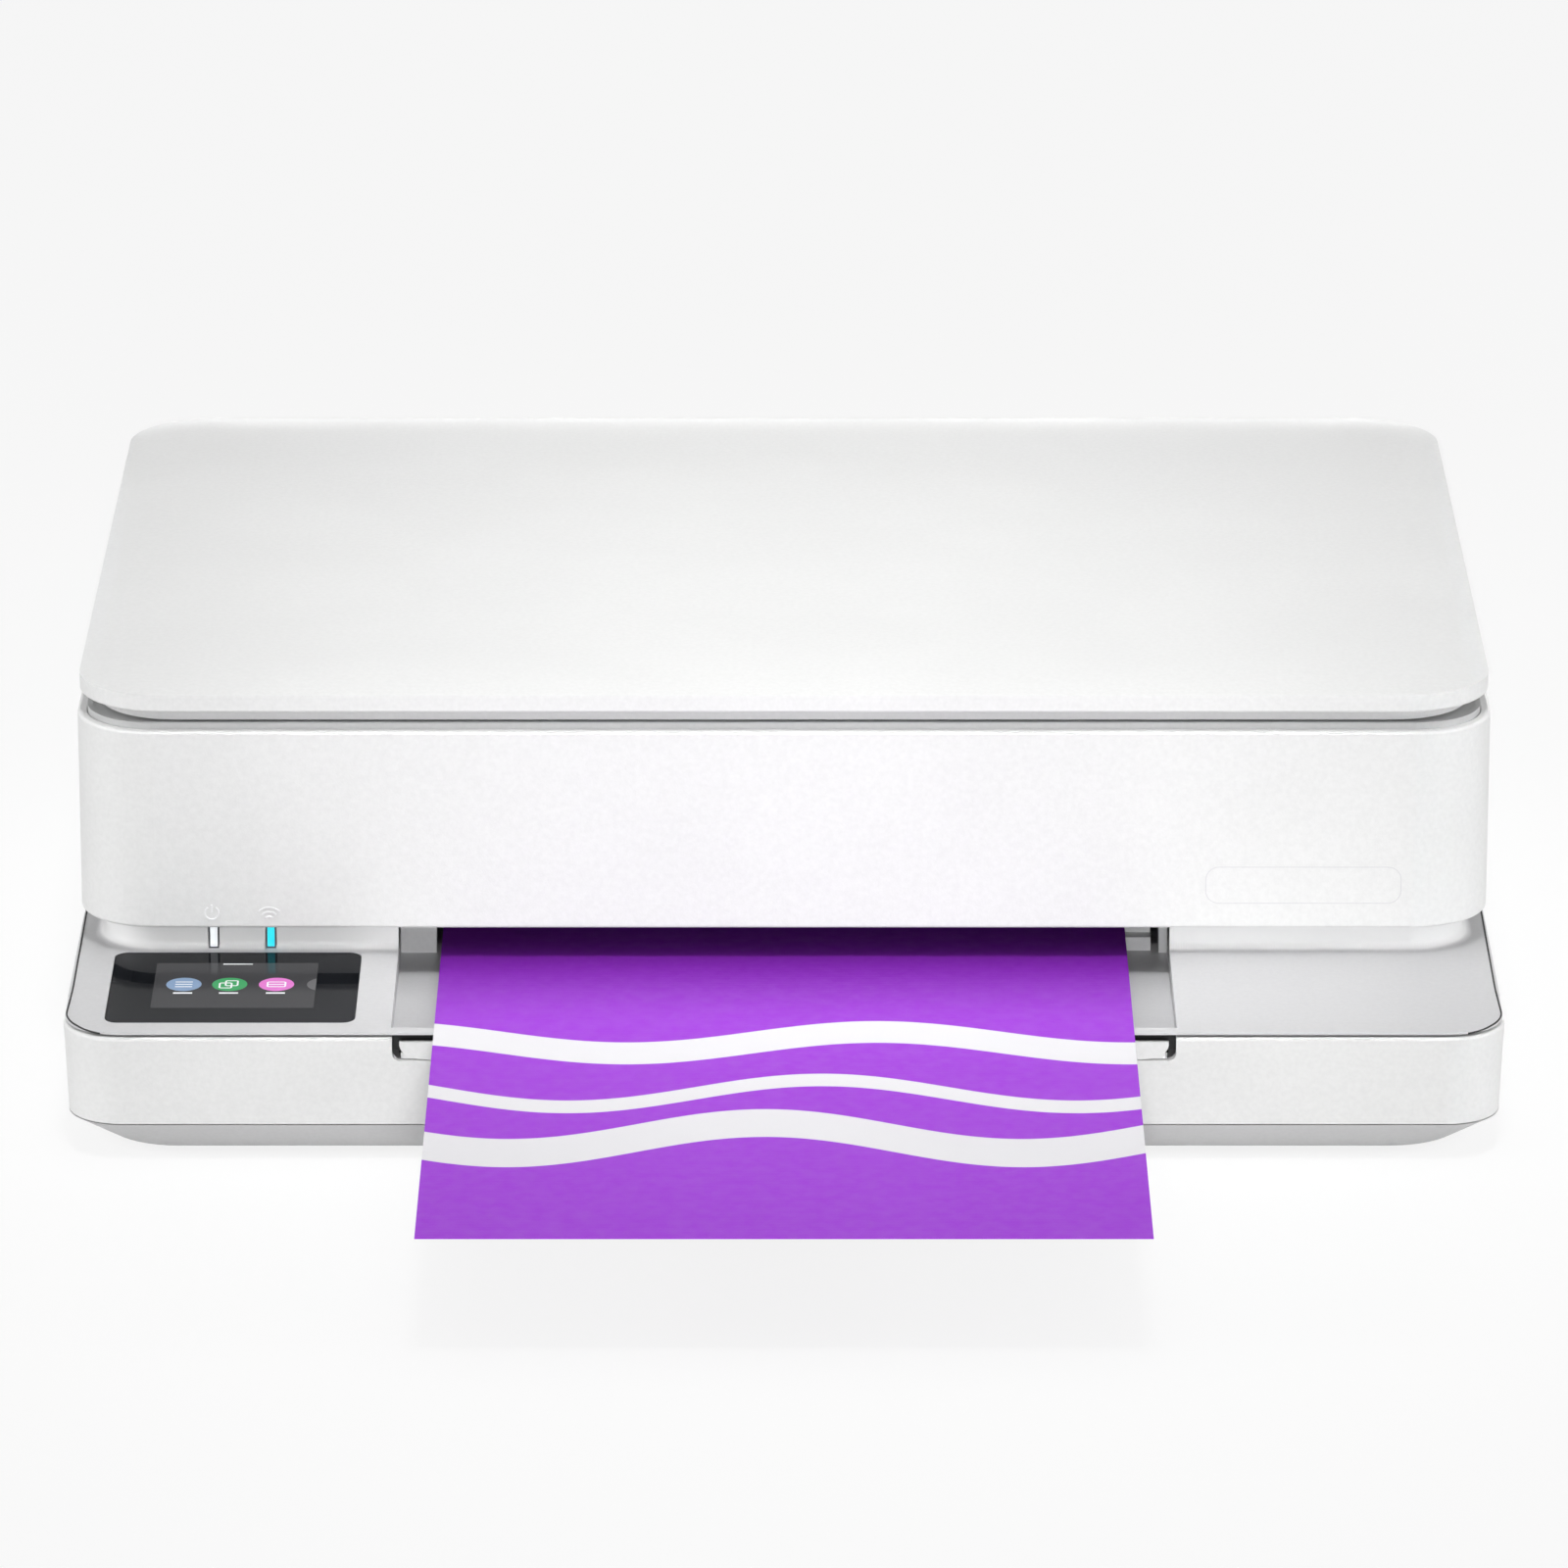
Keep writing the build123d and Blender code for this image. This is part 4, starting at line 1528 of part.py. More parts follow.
with BuildPart() as carriage_body:
    profile_along_x(
        [
            (CARRIAGE_FRONT, CARRIAGE_STEP),
            (CARRIAGE_STEP_Y, CARRIAGE_STEP),
            (CARRIAGE_STEP_Y, CARRIAGE_FOOT),
            (CARRIAGE_REAR, CARRIAGE_FOOT),
            (CARRIAGE_REAR, CARRIAGE_HEAD),
            (CARRIAGE_FRONT, CARRIAGE_HEAD),
        ],
        CARRIAGE_SPAN,
    )
    for side in (-1, 1):
        profile_along_x(
            [
                (Y_BAY_FRONT, Z_BAY_STEP),
                (Y_BAY_STEP, Z_BAY_STEP),
                (Y_BAY_STEP, Z_BAY),
                (Y_BAY_REAR, Z_BAY),
                (Y_BAY_REAR, CARRIAGE_HEAD + LAP),
                (Y_BAY_FRONT, CARRIAGE_HEAD + LAP),
            ],
            bay_span(side, 0),
            mode=Mode.SUBTRACT,
        )
        block(
            bay_span(side, 0),
            (CARRIAGE_FRONT - LAP, Y_BAY_FRONT + LAP),
            (Z_LATCH - LATCH_THICK / 2 - FIT, CARRIAGE_HEAD + LAP),
            mode=Mode.SUBTRACT,
        )
        with BuildSketch(Plane.XY.offset(CARRIAGE_FOOT - LAP)):
            with Locations((CARRIAGE_X + side * BAY_X, NOZZLE_Y)):
                Rectangle(NOZZLE_WIDE + 2 * CARTRIDGE_GAP, NOZZLE_LONG + 2 * CARTRIDGE_GAP)
        extrude(amount=CARRIAGE_FLOOR + 2 * LAP, mode=Mode.SUBTRACT)
    bore_span = (CARRIAGE_SPAN[0] - LAP, CARRIAGE_SPAN[1] + LAP)
    cross_rod(bore_span, Y_LATCH, Z_LATCH, LATCH_PIN + RUN, mode=Mode.SUBTRACT)
    hook_low = RAIL_HEAD + FIT
    hook_rear = RAIL_WEB_Y + RAIL_SHEET + FIT
    profile_along_x(
        [
            (Y_BAY_REAR, CARRIAGE_HEAD - LAP),
            (Y_BAY_REAR, hook_low + HOOK_THICK),
            (hook_rear + HOOK_THICK, hook_low + HOOK_THICK),
            (hook_rear + HOOK_THICK, hook_low - HOOK_DROP),
            (hook_rear, hook_low - HOOK_DROP),
            (hook_rear, hook_low),
            (CARRIAGE_REAR, hook_low),
            (CARRIAGE_REAR, CARRIAGE_HEAD - LAP),
        ],
        (CARRIAGE_X - HOOK_HALF, CARRIAGE_X + HOOK_HALF),
    )
    clip_top = PULLEY_Z - PULLEY_RADIUS - BELT_GAP - BELT_THICK - FIT
    block(
        (CARRIAGE_X - CLIP_WIDE / 2, CARRIAGE_X + CLIP_WIDE / 2),
        (CARRIAGE_REAR - RUN, Y_BELT + BELT_WIDE),
        (clip_top - CLIP_THICK, clip_top),
    )
finish(carriage_body, "carriage_body")


def cartridge(side):
    """Ink cartridge that fills its bay, with the nozzle nose through the floor and a grip at the top."""
    gap = CARTRIDGE_GAP
    profile_along_x(
        [
            (Y_BAY_FRONT + gap, Z_BAY_STEP + gap),
            (Y_BAY_STEP + gap, Z_BAY_STEP + gap),
            (Y_BAY_STEP + gap, Z_BAY + gap),
            (Y_BAY_REAR - gap, Z_BAY + gap),
            (Y_BAY_REAR - gap, Z_CARTRIDGE_TOP - CARTRIDGE_SLOPE),
            (Y_BAY_REAR - gap - CARTRIDGE_SLOPE, Z_CARTRIDGE_TOP),
            (Y_BAY_FRONT + gap, Z_CARTRIDGE_TOP),
        ],
        bay_span(side, gap),
    )
    fillet(edges().filter_by(Axis.Z), CARTRIDGE_EDGE)
    middle = CARRIAGE_X + side * BAY_X
    block(
        (middle - NOZZLE_WIDE / 2, middle + NOZZLE_WIDE / 2),
        (NOZZLE_Y - NOZZLE_LONG / 2, NOZZLE_Y + NOZZLE_LONG / 2),
        (Z_BAY + gap - NOZZLE_DROP, Z_BAY + 2 * gap),
    )


with BuildPart() as black_cartridge:
    cartridge(1)
finish(black_cartridge, "black_cartridge")

with BuildPart() as colour_cartridge:
    cartridge(-1)
finish(colour_cartridge, "colour_cartridge")


def latch(side):
    """Flap in front of a cartridge, on two pins, with a tab over the cartridge."""
    span = bay_span(side, FIT)
    front = Y_LATCH - LATCH_THICK / 2
    cross_rod(span, Y_LATCH, Z_LATCH, LATCH_THICK / 2)
    profile_along_x(
        [
            (front, Z_LATCH),
            (front, CARRIAGE_HEAD),
            (front + LATCH_THICK + LATCH_TAB, CARRIAGE_HEAD),
            (front + LATCH_THICK + LATCH_TAB, CARRIAGE_HEAD - LATCH_EDGE),
            (front + LATCH_THICK, CARRIAGE_HEAD - LATCH_EDGE),
            (front + LATCH_THICK, Z_LATCH),
        ],
        span,
    )
    cross_rod((span[0] - LATCH_PIN_LONG, span[1] + LATCH_PIN_LONG), Y_LATCH, Z_LATCH, LATCH_PIN)


with BuildPart() as black_latch:
    latch(1)
finish(black_latch, "black_latch")

with BuildPart() as colour_latch:
    latch(-1)
finish(colour_latch, "colour_latch")

# Service station: deep tub under the parked carriage, with a sled that carries the two caps
STATION_SPAN = (CARRIAGE_X - STATION_WIDE / 2, CARRIAGE_X + STATION_WIDE / 2)
Z_SLED = Z_FLOOR + STATION_FLOOR + FIT
with BuildPart() as service_station:
    with BuildSketch(Plane.XY.offset(Z_FLOOR)):
        with Locations((CARRIAGE_X, (STATION_FRONT + STATION_REAR) / 2)):
            RectangleRounded(STATION_WIDE, STATION_REAR - STATION_FRONT, STATION_CORNER)
    extrude(amount=STATION_RISE)
    block(
        (STATION_SPAN[0] + STATION_WALL, STATION_SPAN[1] - STATION_WALL),
        (STATION_FRONT + STATION_WALL, STATION_REAR - STATION_WALL),
        (Z_FLOOR + STATION_FLOOR, Z_FLOOR + STATION_RISE + LAP),
        mode=Mode.SUBTRACT,
    )
finish(service_station, "service_station")

with BuildPart() as service_sled:
    sled_rear = NOZZLE_Y + CAP_LONG / 2
    block(
        (STATION_SPAN[0] + STATION_WALL + FIT, STATION_SPAN[1] - STATION_WALL - FIT),
        (sled_rear - SLED_LONG, sled_rear),
        (Z_SLED, Z_SLED + SLED_RISE),
    )
    for side in (-1, 1):
        with BuildSketch(Plane.XY.offset(Z_SLED + SLED_RISE - RUN)):
            with Locations((CARRIAGE_X + side * BAY_X, NOZZLE_Y)):
                RectangleRounded(CAP_WIDE, CAP_LONG, CAP_CORNER)
        extrude(amount=CARRIAGE_FOOT - CAP_GAP - Z_SLED - SLED_RISE + RUN)
        with BuildSketch(Plane.XY.offset(CARRIAGE_FOOT - CAP_GAP)):
            with Locations((CARRIAGE_X + side * BAY_X, NOZZLE_Y)):
                RectangleRounded(CAP_WIDE - 2 * CAP_WALL, CAP_LONG - 2 * CAP_WALL, CAP_CORNER - CAP_WALL / 2)
        extrude(amount=-CAP_SINK, mode=Mode.SUBTRACT)
finish(service_sled, "service_sled")

# Main board on its posts, with its larger components
Z_BOARD = Z_FLOOR + BOARD_LIFT
with BuildPart() as main_board:
    block((BOARD_LEFT, BOARD_RIGHT), (BOARD_FRONT, BOARD_REAR), (Z_BOARD, Z_BOARD + BOARD_THICK))
    for x, y, wide, deep, rise in BOARD_PIECES:
        with BuildSketch(Plane.XY.offset(Z_BOARD + BOARD_THICK - RUN)):
            with Locations((BOARD_LEFT + x, BOARD_FRONT + y)):
                Rectangle(wide, deep)
        extrude(amount=rise + RUN)
finish(main_board, "main_board")

with BuildPart() as usb_port:
    usb_low = Z_BOARD + BOARD_THICK
    usb_rear = rear_face(usb_low) - PORT_SETBACK
    block(
        (USB_X - USB_WIDE / 2, USB_X + USB_WIDE / 2),
        (usb_rear - USB_LONG, usb_rear),
        (usb_low, usb_low + USB_TALL),
    )
    with BuildSketch(Plane.XZ.offset(-usb_rear)):
        with Locations((USB_X, usb_low + USB_TALL / 2)):
            RectangleRounded(USB_WIDE - 2 * USB_WALL, USB_TALL - 2 * USB_WALL, USB_WALL)
            RectangleRounded(USB_TONGUE, USB_TONGUE - USB_WALL, USB_WALL / 2, mode=Mode.SUBTRACT)
    extrude(amount=USB_DEEP, mode=Mode.SUBTRACT)
finish(usb_port, "usb_port")

with BuildPart() as power_supply:
    with BuildSketch(Plane.XY.offset(Z_FLOOR)):
        with Locations(((SUPPLY_LEFT + SUPPLY_RIGHT) / 2, (SUPPLY_FRONT + SUPPLY_REAR) / 2)):
            RectangleRounded(SUPPLY_RIGHT - SUPPLY_LEFT, SUPPLY_REAR - SUPPLY_FRONT, SUPPLY_EDGE)
    extrude(amount=SUPPLY_RISE)
    with BuildSketch(Plane.XY.offset(Z_FLOOR + SUPPLY_RISE)):
        with Locations(((SUPPLY_LEFT + SUPPLY_RIGHT) / 2, (SUPPLY_FRONT + SUPPLY_REAR) / 2)):
            with GridLocations(0, SUPPLY_SLOT_PITCH, 1, SUPPLY_SLOTS):
                SlotOverall(SUPPLY_SLOT_LONG, SUPPLY_SLOT_WIDE)
    extrude(amount=-SUPPLY_EDGE, mode=Mode.SUBTRACT)
finish(power_supply, "power_supply")

with BuildPart() as power_inlet:
    inlet_rear = rear_face(INLET_Z) - PORT_SETBACK
    with BuildSketch(Plane.XZ.offset(-inlet_rear)):
        with Locations((INLET_X, INLET_Z)):
            RectangleRounded(INLET_WIDE, INLET_TALL, PORT_CORNER)
    extrude(amount=inlet_rear - SUPPLY_REAR)
    with BuildSketch(Plane.XZ.offset(-inlet_rear)):
        with Locations((INLET_X, INLET_Z)):
            SlotCenterToCenter(INLET_PITCH, 2 * INLET_SOCKET)
            with GridLocations(INLET_PITCH, 0, 2, 1):
                Circle(INLET_PIN, mode=Mode.SUBTRACT)
    extrude(amount=INLET_DEEP, mode=Mode.SUBTRACT)
finish(power_inlet, "power_inlet")
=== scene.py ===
import json
import math

import bmesh
import bpy
import numpy as np
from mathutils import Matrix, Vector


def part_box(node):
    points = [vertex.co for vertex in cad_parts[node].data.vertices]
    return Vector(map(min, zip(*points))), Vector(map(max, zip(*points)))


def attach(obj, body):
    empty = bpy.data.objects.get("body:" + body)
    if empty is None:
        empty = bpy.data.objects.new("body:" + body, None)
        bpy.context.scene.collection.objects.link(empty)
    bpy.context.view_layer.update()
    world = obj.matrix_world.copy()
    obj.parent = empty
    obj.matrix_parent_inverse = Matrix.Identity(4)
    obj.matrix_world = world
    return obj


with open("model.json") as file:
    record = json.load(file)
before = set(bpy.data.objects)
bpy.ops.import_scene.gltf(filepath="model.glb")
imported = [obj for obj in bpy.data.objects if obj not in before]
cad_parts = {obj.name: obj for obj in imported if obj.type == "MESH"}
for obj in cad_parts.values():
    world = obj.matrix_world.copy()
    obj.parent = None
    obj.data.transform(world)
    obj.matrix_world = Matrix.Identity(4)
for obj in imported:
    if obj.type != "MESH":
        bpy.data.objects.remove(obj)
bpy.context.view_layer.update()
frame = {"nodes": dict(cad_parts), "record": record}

NODES = frame["nodes"]
MM = 0.001
UNIT = (0.0, 1.0)

# Camera: focal length in pixels on a 1600 pixel frame, pitch, place, and how far it sees
PHOTO_SIDE = 1600
FOCAL_PIXELS = 10058.0
SENSOR_MM = 36.0
CAMERA_PITCH = math.radians(18.35)
CAMERA_PLACE = (0.0, -2961.55 * MM, 1043.12 * MM)
CAMERA_REACH = 50.0

# Light: white fill of the room, then each lamp's name, place, aim, size, watts, and where it is
# not the usual one its spread and whether it shows in reflections
WORLD_FILL = 0.30
LAMPS = (
    ("key", (0.05, -1.0, 2.1), (0.01, -0.03, 0.12), (0.4, 0.4), 0.46, math.radians(21)),
    ("overhead", (0.0, -0.2, 2.3), (0.0, 0.0, 0.1), (2.2, 2.2), 6.0),
    ("front", (0.05, -3.0, 0.6), (0.01, -0.15, 0.08), (0.3, 0.3), 0.34, math.radians(17), False),
    ("left", (-2.6, -0.8, 0.7), (0.0, -0.1, 0.06), (1.0, 1.4), 25.0),
    ("right", (2.6, -0.8, 0.7), (0.0, -0.1, 0.06), (1.0, 1.4), 25.0),
    ("rear", (0.0, 2.4, 0.07), (0.0, 0.18, 0.07), (1.8, 0.1), 14.0),
)

# Floor: half its side, its grey and its glow where it is seen, and its grey for thrown light
FLOOR_HALF = 6.0
FLOOR_SHADE = 0.2
FLOOR_GLOW = 0.82
FLOOR_BOUNCE = 0.72

# Wall behind the notch, painted dark as the shade seen through the notch's gap: depth from the
# front of the deck, and drop of the lip from the rear of the panel
WALL_BEHIND = 3.45 * MM
LIP_BELOW_PANEL = 3.43 * MM
NOTCH_PAINTED_SHADE = (0.012, 0.012, 0.013)

# Neck: heights between which the deck's grey white goes over to the neck's white, partly its own
# clear white and partly painted light against the shade under the upper case
NECK_FADE = (44.85 * MM, 45.7 * MM)
NECK_WHITE_PAINTED_LIGHT = (0.97, 0.97, 0.97)

# Catcher: depth of its white tab, and the plate behind it, painted dark as the shade in the notch's
# gap
TAB_DEEP = 1.4 * MM
TAB_PAINTED_SHADE = (0.02, 0.02, 0.021)

# Light bars: painted shade as a dark rim round them, where their pockets shade them
BAR_SHADE_RIM = 0.4 * MM
BAR_PAINTED_SHADE = (0.06, 0.06, 0.065)

# Circuit board: its thickness with the mask, its tracks, and the moulded parts that stand on it
BOARD_THICK = 1.62 * MM
TRACKS = {"Scale": 190.0, "Mortar Size": 0.012, "Row Height": 0.35}
BOARD_GREENS = ((0.012, 0.13, 0.05), (0.05, 0.3, 0.13))
BOARD_PARTS = (0.02, 0.02, 0.022)

# Print on the sheet: violet from the open end to the slot, darker at the slot partly by the print
# and partly as painted shade under the upper case, its length of change from the front edge, the
# pale ink of the feed bands and their share, and the white of the waves
VIOLETS_PRINT_AND_SHADE = ((0.370, 0.030, 0.740), (0.20, 0.017, 0.40))
VIOLET_LONG = 165 * MM
BAND_VIOLET = (0.46, 0.13, 0.82)
BAND_SHARE = 0.05
BAND_SCALE = 160.0
WAVE_WHITE = (0.90, 0.89, 0.92)
WAVE_EDGE = 0.3 * MM

# Waves on the sheet: place along the feed, half width, swing, radians per metre and shift
WAVES = (
    (-190.0 * MM, 9.0 * MM, 9.0 * MM, 42.0, 0.4),
    (-232.0 * MM, 5.0 * MM, 11.0 * MM, 42.0, 1.1),
    (-268.0 * MM, 11.0 * MM, 12.0 * MM, 42.0, 1.8),
)

# Light the print throws on its surroundings: a grey, and its share
THROWN_GREY = (0.40, 0.38, 0.42)
PRINT_NEUTRAL = 0.92

# Touch panel: slope of the deck, thickness of the glass, and its lit field
DECK_SLOPE = math.radians(2.5)
PANEL_THICK = 3.7 * MM
FIELD_X = (-191.2 * MM, -142.0 * MM)
FIELD_ALONG = (11.6 * MM, 47.9 * MM)
FIELD_CORNER = 0.6 * MM
FILM = 0.02 * MM
SCREEN_DOTS = 6000.0

# Icons: round fields, the bars under them and the handle line above
ICON_RADIUS = 5.35 * MM
ICON_STEPS = 48
ICON_ALONG = 30.5 * MM
ICON_X = tuple(x * MM for x in (-182.1, -168.2, -154.0, -139.4))
LABEL_ALONG = 23.5 * MM
LABEL_LONG = 5.8 * MM
LABEL_WIDE = 1.1 * MM
HANDLE_X = (-171.0 * MM, -162.0 * MM)
HANDLE_ALONG = 46.9 * MM
HANDLE_WIDE = 0.7 * MM

# Signs in the icons, from the middle of each: bars, two sheets, and a page
GLYPH_LINE = 0.55 * MM
GLYPH_CORNER = 0.5 * MM
GLYPH_STEPS = 4
MENU_HALF = 2.6 * MM
MENU_STEP = 1.9 * MM
COPY_SHIFT = 0.9 * MM
COPY_X = (-2.1 * MM, 1.5 * MM)
COPY_HALF = 2.0 * MM
PAGE_HALF_X = 2.7 * MM
PAGE_HALF_ALONG = 1.9 * MM

# Marks on the fascia above the light bars, drawn from the angle of a ring's top, and the bare plate
# at the right
TOP = math.pi / 2
MARK_HEIGHT = 59.4 * MM
MARK_PROUD = 0.25 * MM
MARK_LINE = 0.42 * MM
POWER_MARK_RADIUS = 2.1 * MM
POWER_MARK_GAP = math.radians(36)
POWER_STROKE = (0.2 * MM, POWER_MARK_RADIUS + 0.5 * MM)
WAVE_RADII = tuple(r * MM for r in (1.5, 3.0, 4.5))
WAVE_HALF = math.radians(44)
WAVE_DROP = 2.7 * MM
PLATE_X = (128.5 * MM, 188.0 * MM)
PLATE_Z = (62.6 * MM, 74.2 * MM)
PLATE_CORNER = 4.0 * MM
PLATE_LINE = 0.3 * MM
PLATE_PROUD = 0.08 * MM

# Cartridge labels: margins on the top face, corner, and the stripes on them
LABEL_MARGIN = 3.0 * MM
LABEL_FRONT = 12.0 * MM
LABEL_REAR = 14.0 * MM
LABEL_CORNER = 1.5 * MM
STRIPE_PITCH = 6.0 * MM
STRIPE_IN = 3.0 * MM
STRIPE_WIDE = 3.2 * MM

# Seam between the deck and its rim, drawn as a dark bead of painted shadow in the gap: the climb
# over the deck's edge at the corner, then the run along the side, with the steps in each
SEAM_RADIUS = 0.27 * MM
SEAM_INSET = 0.9 * MM
SEAM_BLEND = 30.0 * MM
SEAM_CLIMB = (math.radians(-70), math.radians(-40))
SEAM_FOOT = 0.15 * MM
SEAM_LONG = 120.0 * MM
SEAM_STEPS = (50, 30)
DECK_CORNER = 17.2 * MM
DECK_EDGE = 0.63 * MM

# Spans of noise that are stretched over 0 to 1
NOISE_SPAN = (0.3, 0.7)
DRIFT_SPAN = (0.35, 0.65)
BLOOM_SPAN = (0.42, 0.68)

# Scales of textures: flecks against the grain, lines in metal along X, Y and Z (small along the
# lines, large across them), teeth of the belt, and fibres and clouds in paper
FLECK_SCALE = 0.42
ALONG_X = (60.0, 3000.0, 3000.0)
ALONG_Y = (3000.0, 60.0, 3000.0)
BELT_TEETH = 78.0
FIBRE_STRETCH = (1.0, 0.3, 1.0)
CLOUD_SCALE = 220.0

# Points of a new piece nearer than this are one
MERGE_WITHIN = 1e-8


# Node trees

def node(tree, kind, inputs=None, **settings):
    """New node with its settings; each input takes a value or the output that feeds it."""
    made = tree.nodes.new(kind)
    for key, value in settings.items():
        setattr(made, key, value)
    for key, value in (inputs or {}).items():
        if isinstance(value, bpy.types.NodeSocket):
            tree.links.new(value, made.inputs[key])
        else:
            made.inputs[key].default_value = value
    return made


def calc(tree, operation, a, b=0.0):
    """Output of a Math node."""
    return node(tree, "ShaderNodeMath", {0: a, 1: b}, operation=operation).outputs[0]


def weigh(tree, a, b, share):
    """Sum of two values, the first by its share and the second by the rest."""
    first = calc(tree, "MULTIPLY", a, share)
    return calc(tree, "ADD", first, calc(tree, "MULTIPLY", b, 1.0 - share))


def remap(tree, value, source, target, smooth=False):
    """Output of a Map Range node, from one span of values to another."""
    inputs = {
        "Value": value,
        "From Min": source[0],
        "From Max": source[1],
        "To Min": target[0],
        "To Max": target[1],
    }
    kind = "SMOOTHSTEP" if smooth else "LINEAR"
    made = node(tree, "ShaderNodeMapRange", inputs, interpolation_type=kind, clamp=True)
    return made.outputs["Result"]


def tone(tree, factor, low, high):
    """Colour that goes from low to high with the factor."""
    made = node(tree, "ShaderNodeMix", data_type="RGBA")
    wanted = {("Factor", "VALUE"): factor, ("A", "RGBA"): low, ("B", "RGBA"): high}
    for socket in made.inputs:
        value = wanted.get((socket.name, socket.type))
        if value is None:
            continue
        if isinstance(value, bpy.types.NodeSocket):
            tree.links.new(value, socket)
        else:
            socket.default_value = (*value, 1.0) if socket.type == "RGBA" else value
    return next(socket for socket in made.outputs if socket.type == "RGBA")


def noise(tree, vector, scale, detail):
    """Value of a Noise texture."""
    inputs = {"Vector": vector, "Scale": scale, "Detail": detail}
    return node(tree, "ShaderNodeTexNoise", inputs).outputs[0]


def cells(tree, vector, scale, feature="F1"):
    """Distance to the nearest cell point of a Voronoi texture."""
    inputs = {"Vector": vector, "Scale": scale}
    return node(tree, "ShaderNodeTexVoronoi", inputs, feature=feature).outputs["Distance"]


def new_group(name, inputs, outputs):
    """Empty node group with a Vector and further named sockets, its input and its output node."""
    tree = bpy.data.node_groups.new(name, "ShaderNodeTree")
    for socket, kind, value in (("Vector", "Vector", None), *inputs):
        made = tree.interface.new_socket(
            name=socket, in_out="INPUT", socket_type="NodeSocket" + kind
        )
        if value is not None:
            made.default_value = value
    for socket in outputs:
        tree.interface.new_socket(name=socket, in_out="OUTPUT", socket_type="NodeSocketFloat")
    given = tree.nodes.new("NodeGroupInput").outputs
    return tree, given, tree.nodes.new("NodeGroupOutput").inputs


def feed(tree, sockets, **values):
    """Link values to named sockets; underscores in a name stand for spaces."""
    for key, value in values.items():
        tree.links.new(value, sockets[key.replace("_", " ")])


def grain_group():
    """Spark-eroded mould grain: fine noise crossed with pits, a coarser fleck and a slow drift."""
    sizes = (("Size", "Float", 0.6 * MM), ("Drift Size", "Float", 70 * MM))
    tree, given, out = new_group("Mould Grain", sizes, ("Height", "Fleck", "Drift"))
    place = given["Vector"]
    fine = calc(tree, "DIVIDE", 1.0, given["Size"])
    coarse = calc(tree, "MULTIPLY", fine, FLECK_SCALE)
    slow = calc(tree, "DIVIDE", 1.0, given["Drift Size"])
    feed(
        tree,
        out,
        Height=weigh(tree, noise(tree, place, fine, 2.0), cells(tree, place, fine), 0.6),
        Fleck=remap(tree, noise(tree, place, coarse, 3.0), NOISE_SPAN, UNIT),
        Drift=remap(tree, noise(tree, place, slow, 2.0), DRIFT_SPAN, UNIT, smooth=True),
    )
    return tree


def brushed_group():
    """Drawn or ground metal: noise stretched by a vector, with slow stain patches."""
    sizes = (("Stretch", "Vector", ALONG_X), ("Stain Size", "Float", 30 * MM))
    tree, given, out = new_group("Drawn Metal", sizes, ("Height", "Streak", "Stain"))
    place = given["Vector"]
    spans = {0: place, 1: given["Stretch"]}
    drawn = node(tree, "ShaderNodeVectorMath", spans, operation="MULTIPLY").outputs[0]
    lines = noise(tree, drawn, 1.0, 3.0)
    slow = calc(tree, "DIVIDE", 1.0, given["Stain Size"])
    feed(
        tree,
        out,
        Height=lines,
        Streak=remap(tree, lines, NOISE_SPAN, UNIT),
        Stain=remap(tree, noise(tree, place, slow, 4.0), DRIFT_SPAN, UNIT, smooth=True),
    )
    return tree


def rubber_group():
    """Rubber: fine pimples and a pale bloom that gathers in slow patches."""
    sizes = (("Size", "Float", 0.5 * MM), ("Bloom Size", "Float", 6 * MM))
    tree, given, out = new_group("Rubber Bloom", sizes, ("Height", "Bloom"))
    place = given["Vector"]
    fine = calc(tree, "DIVIDE", 1.0, given["Size"])
    slow = calc(tree, "DIVIDE", 1.0, given["Bloom Size"])
    feed(
        tree,
        out,
        Height=cells(tree, place, fine, "SMOOTH_F1"),
        Bloom=remap(tree, noise(tree, place, slow, 5.0), BLOOM_SPAN, UNIT, smooth=True),
    )
    return tree


def fibre_group():
    """Paper: short fibres from noise stretched along the feed, over a cloudy formation."""
    tree, given, out = new_group(
        "Paper Fibre", (("Size", "Float", 0.8 * MM),), ("Height", "Cloud")
    )
    place = given["Vector"]
    fine = calc(tree, "DIVIDE", 1.0, given["Size"])
    spans = {0: place, 1: FIBRE_STRETCH}
    along = node(tree, "ShaderNodeVectorMath", spans, operation="MULTIPLY").outputs[0]
    feed(
        tree,
        out,
        Height=noise(tree, along, fine, 4.0),
        Cloud=remap(tree, noise(tree, place, CLOUD_SCALE, 3.0), NOISE_SPAN, UNIT),
    )
    return tree


GRAIN = grain_group()
BRUSHED = brushed_group()
RUBBER = rubber_group()
FIBRE = fibre_group()


# Materials

def new_material(name, **constants):
    """Material with one Principled shader, its plain sockets set by name.

    Gives the material, its tree, the sockets of the shader and the Object coordinates.
    """
    made = bpy.data.materials.new(name)
    made.use_nodes = True
    tree = made.node_tree
    tree.nodes.clear()
    shader = node(tree, "ShaderNodeBsdfPrincipled")
    for key, value in constants.items():
        shader.inputs[key.replace("_", " ")].default_value = value
    node(tree, "ShaderNodeOutputMaterial", {"Surface": shader.outputs[0]})
    place = node(tree, "ShaderNodeTexCoord").outputs["Object"]
    return made, tree, shader.inputs, place


def use(tree, group, place, **sizes):
    """Outputs of a shared node group; underscores in the name of a size stand for spaces."""
    made = node(tree, "ShaderNodeGroup", {"Vector": place}, node_tree=group)
    for key, value in sizes.items():
        made.inputs[key.replace("_", " ")].default_value = value
    return made.outputs


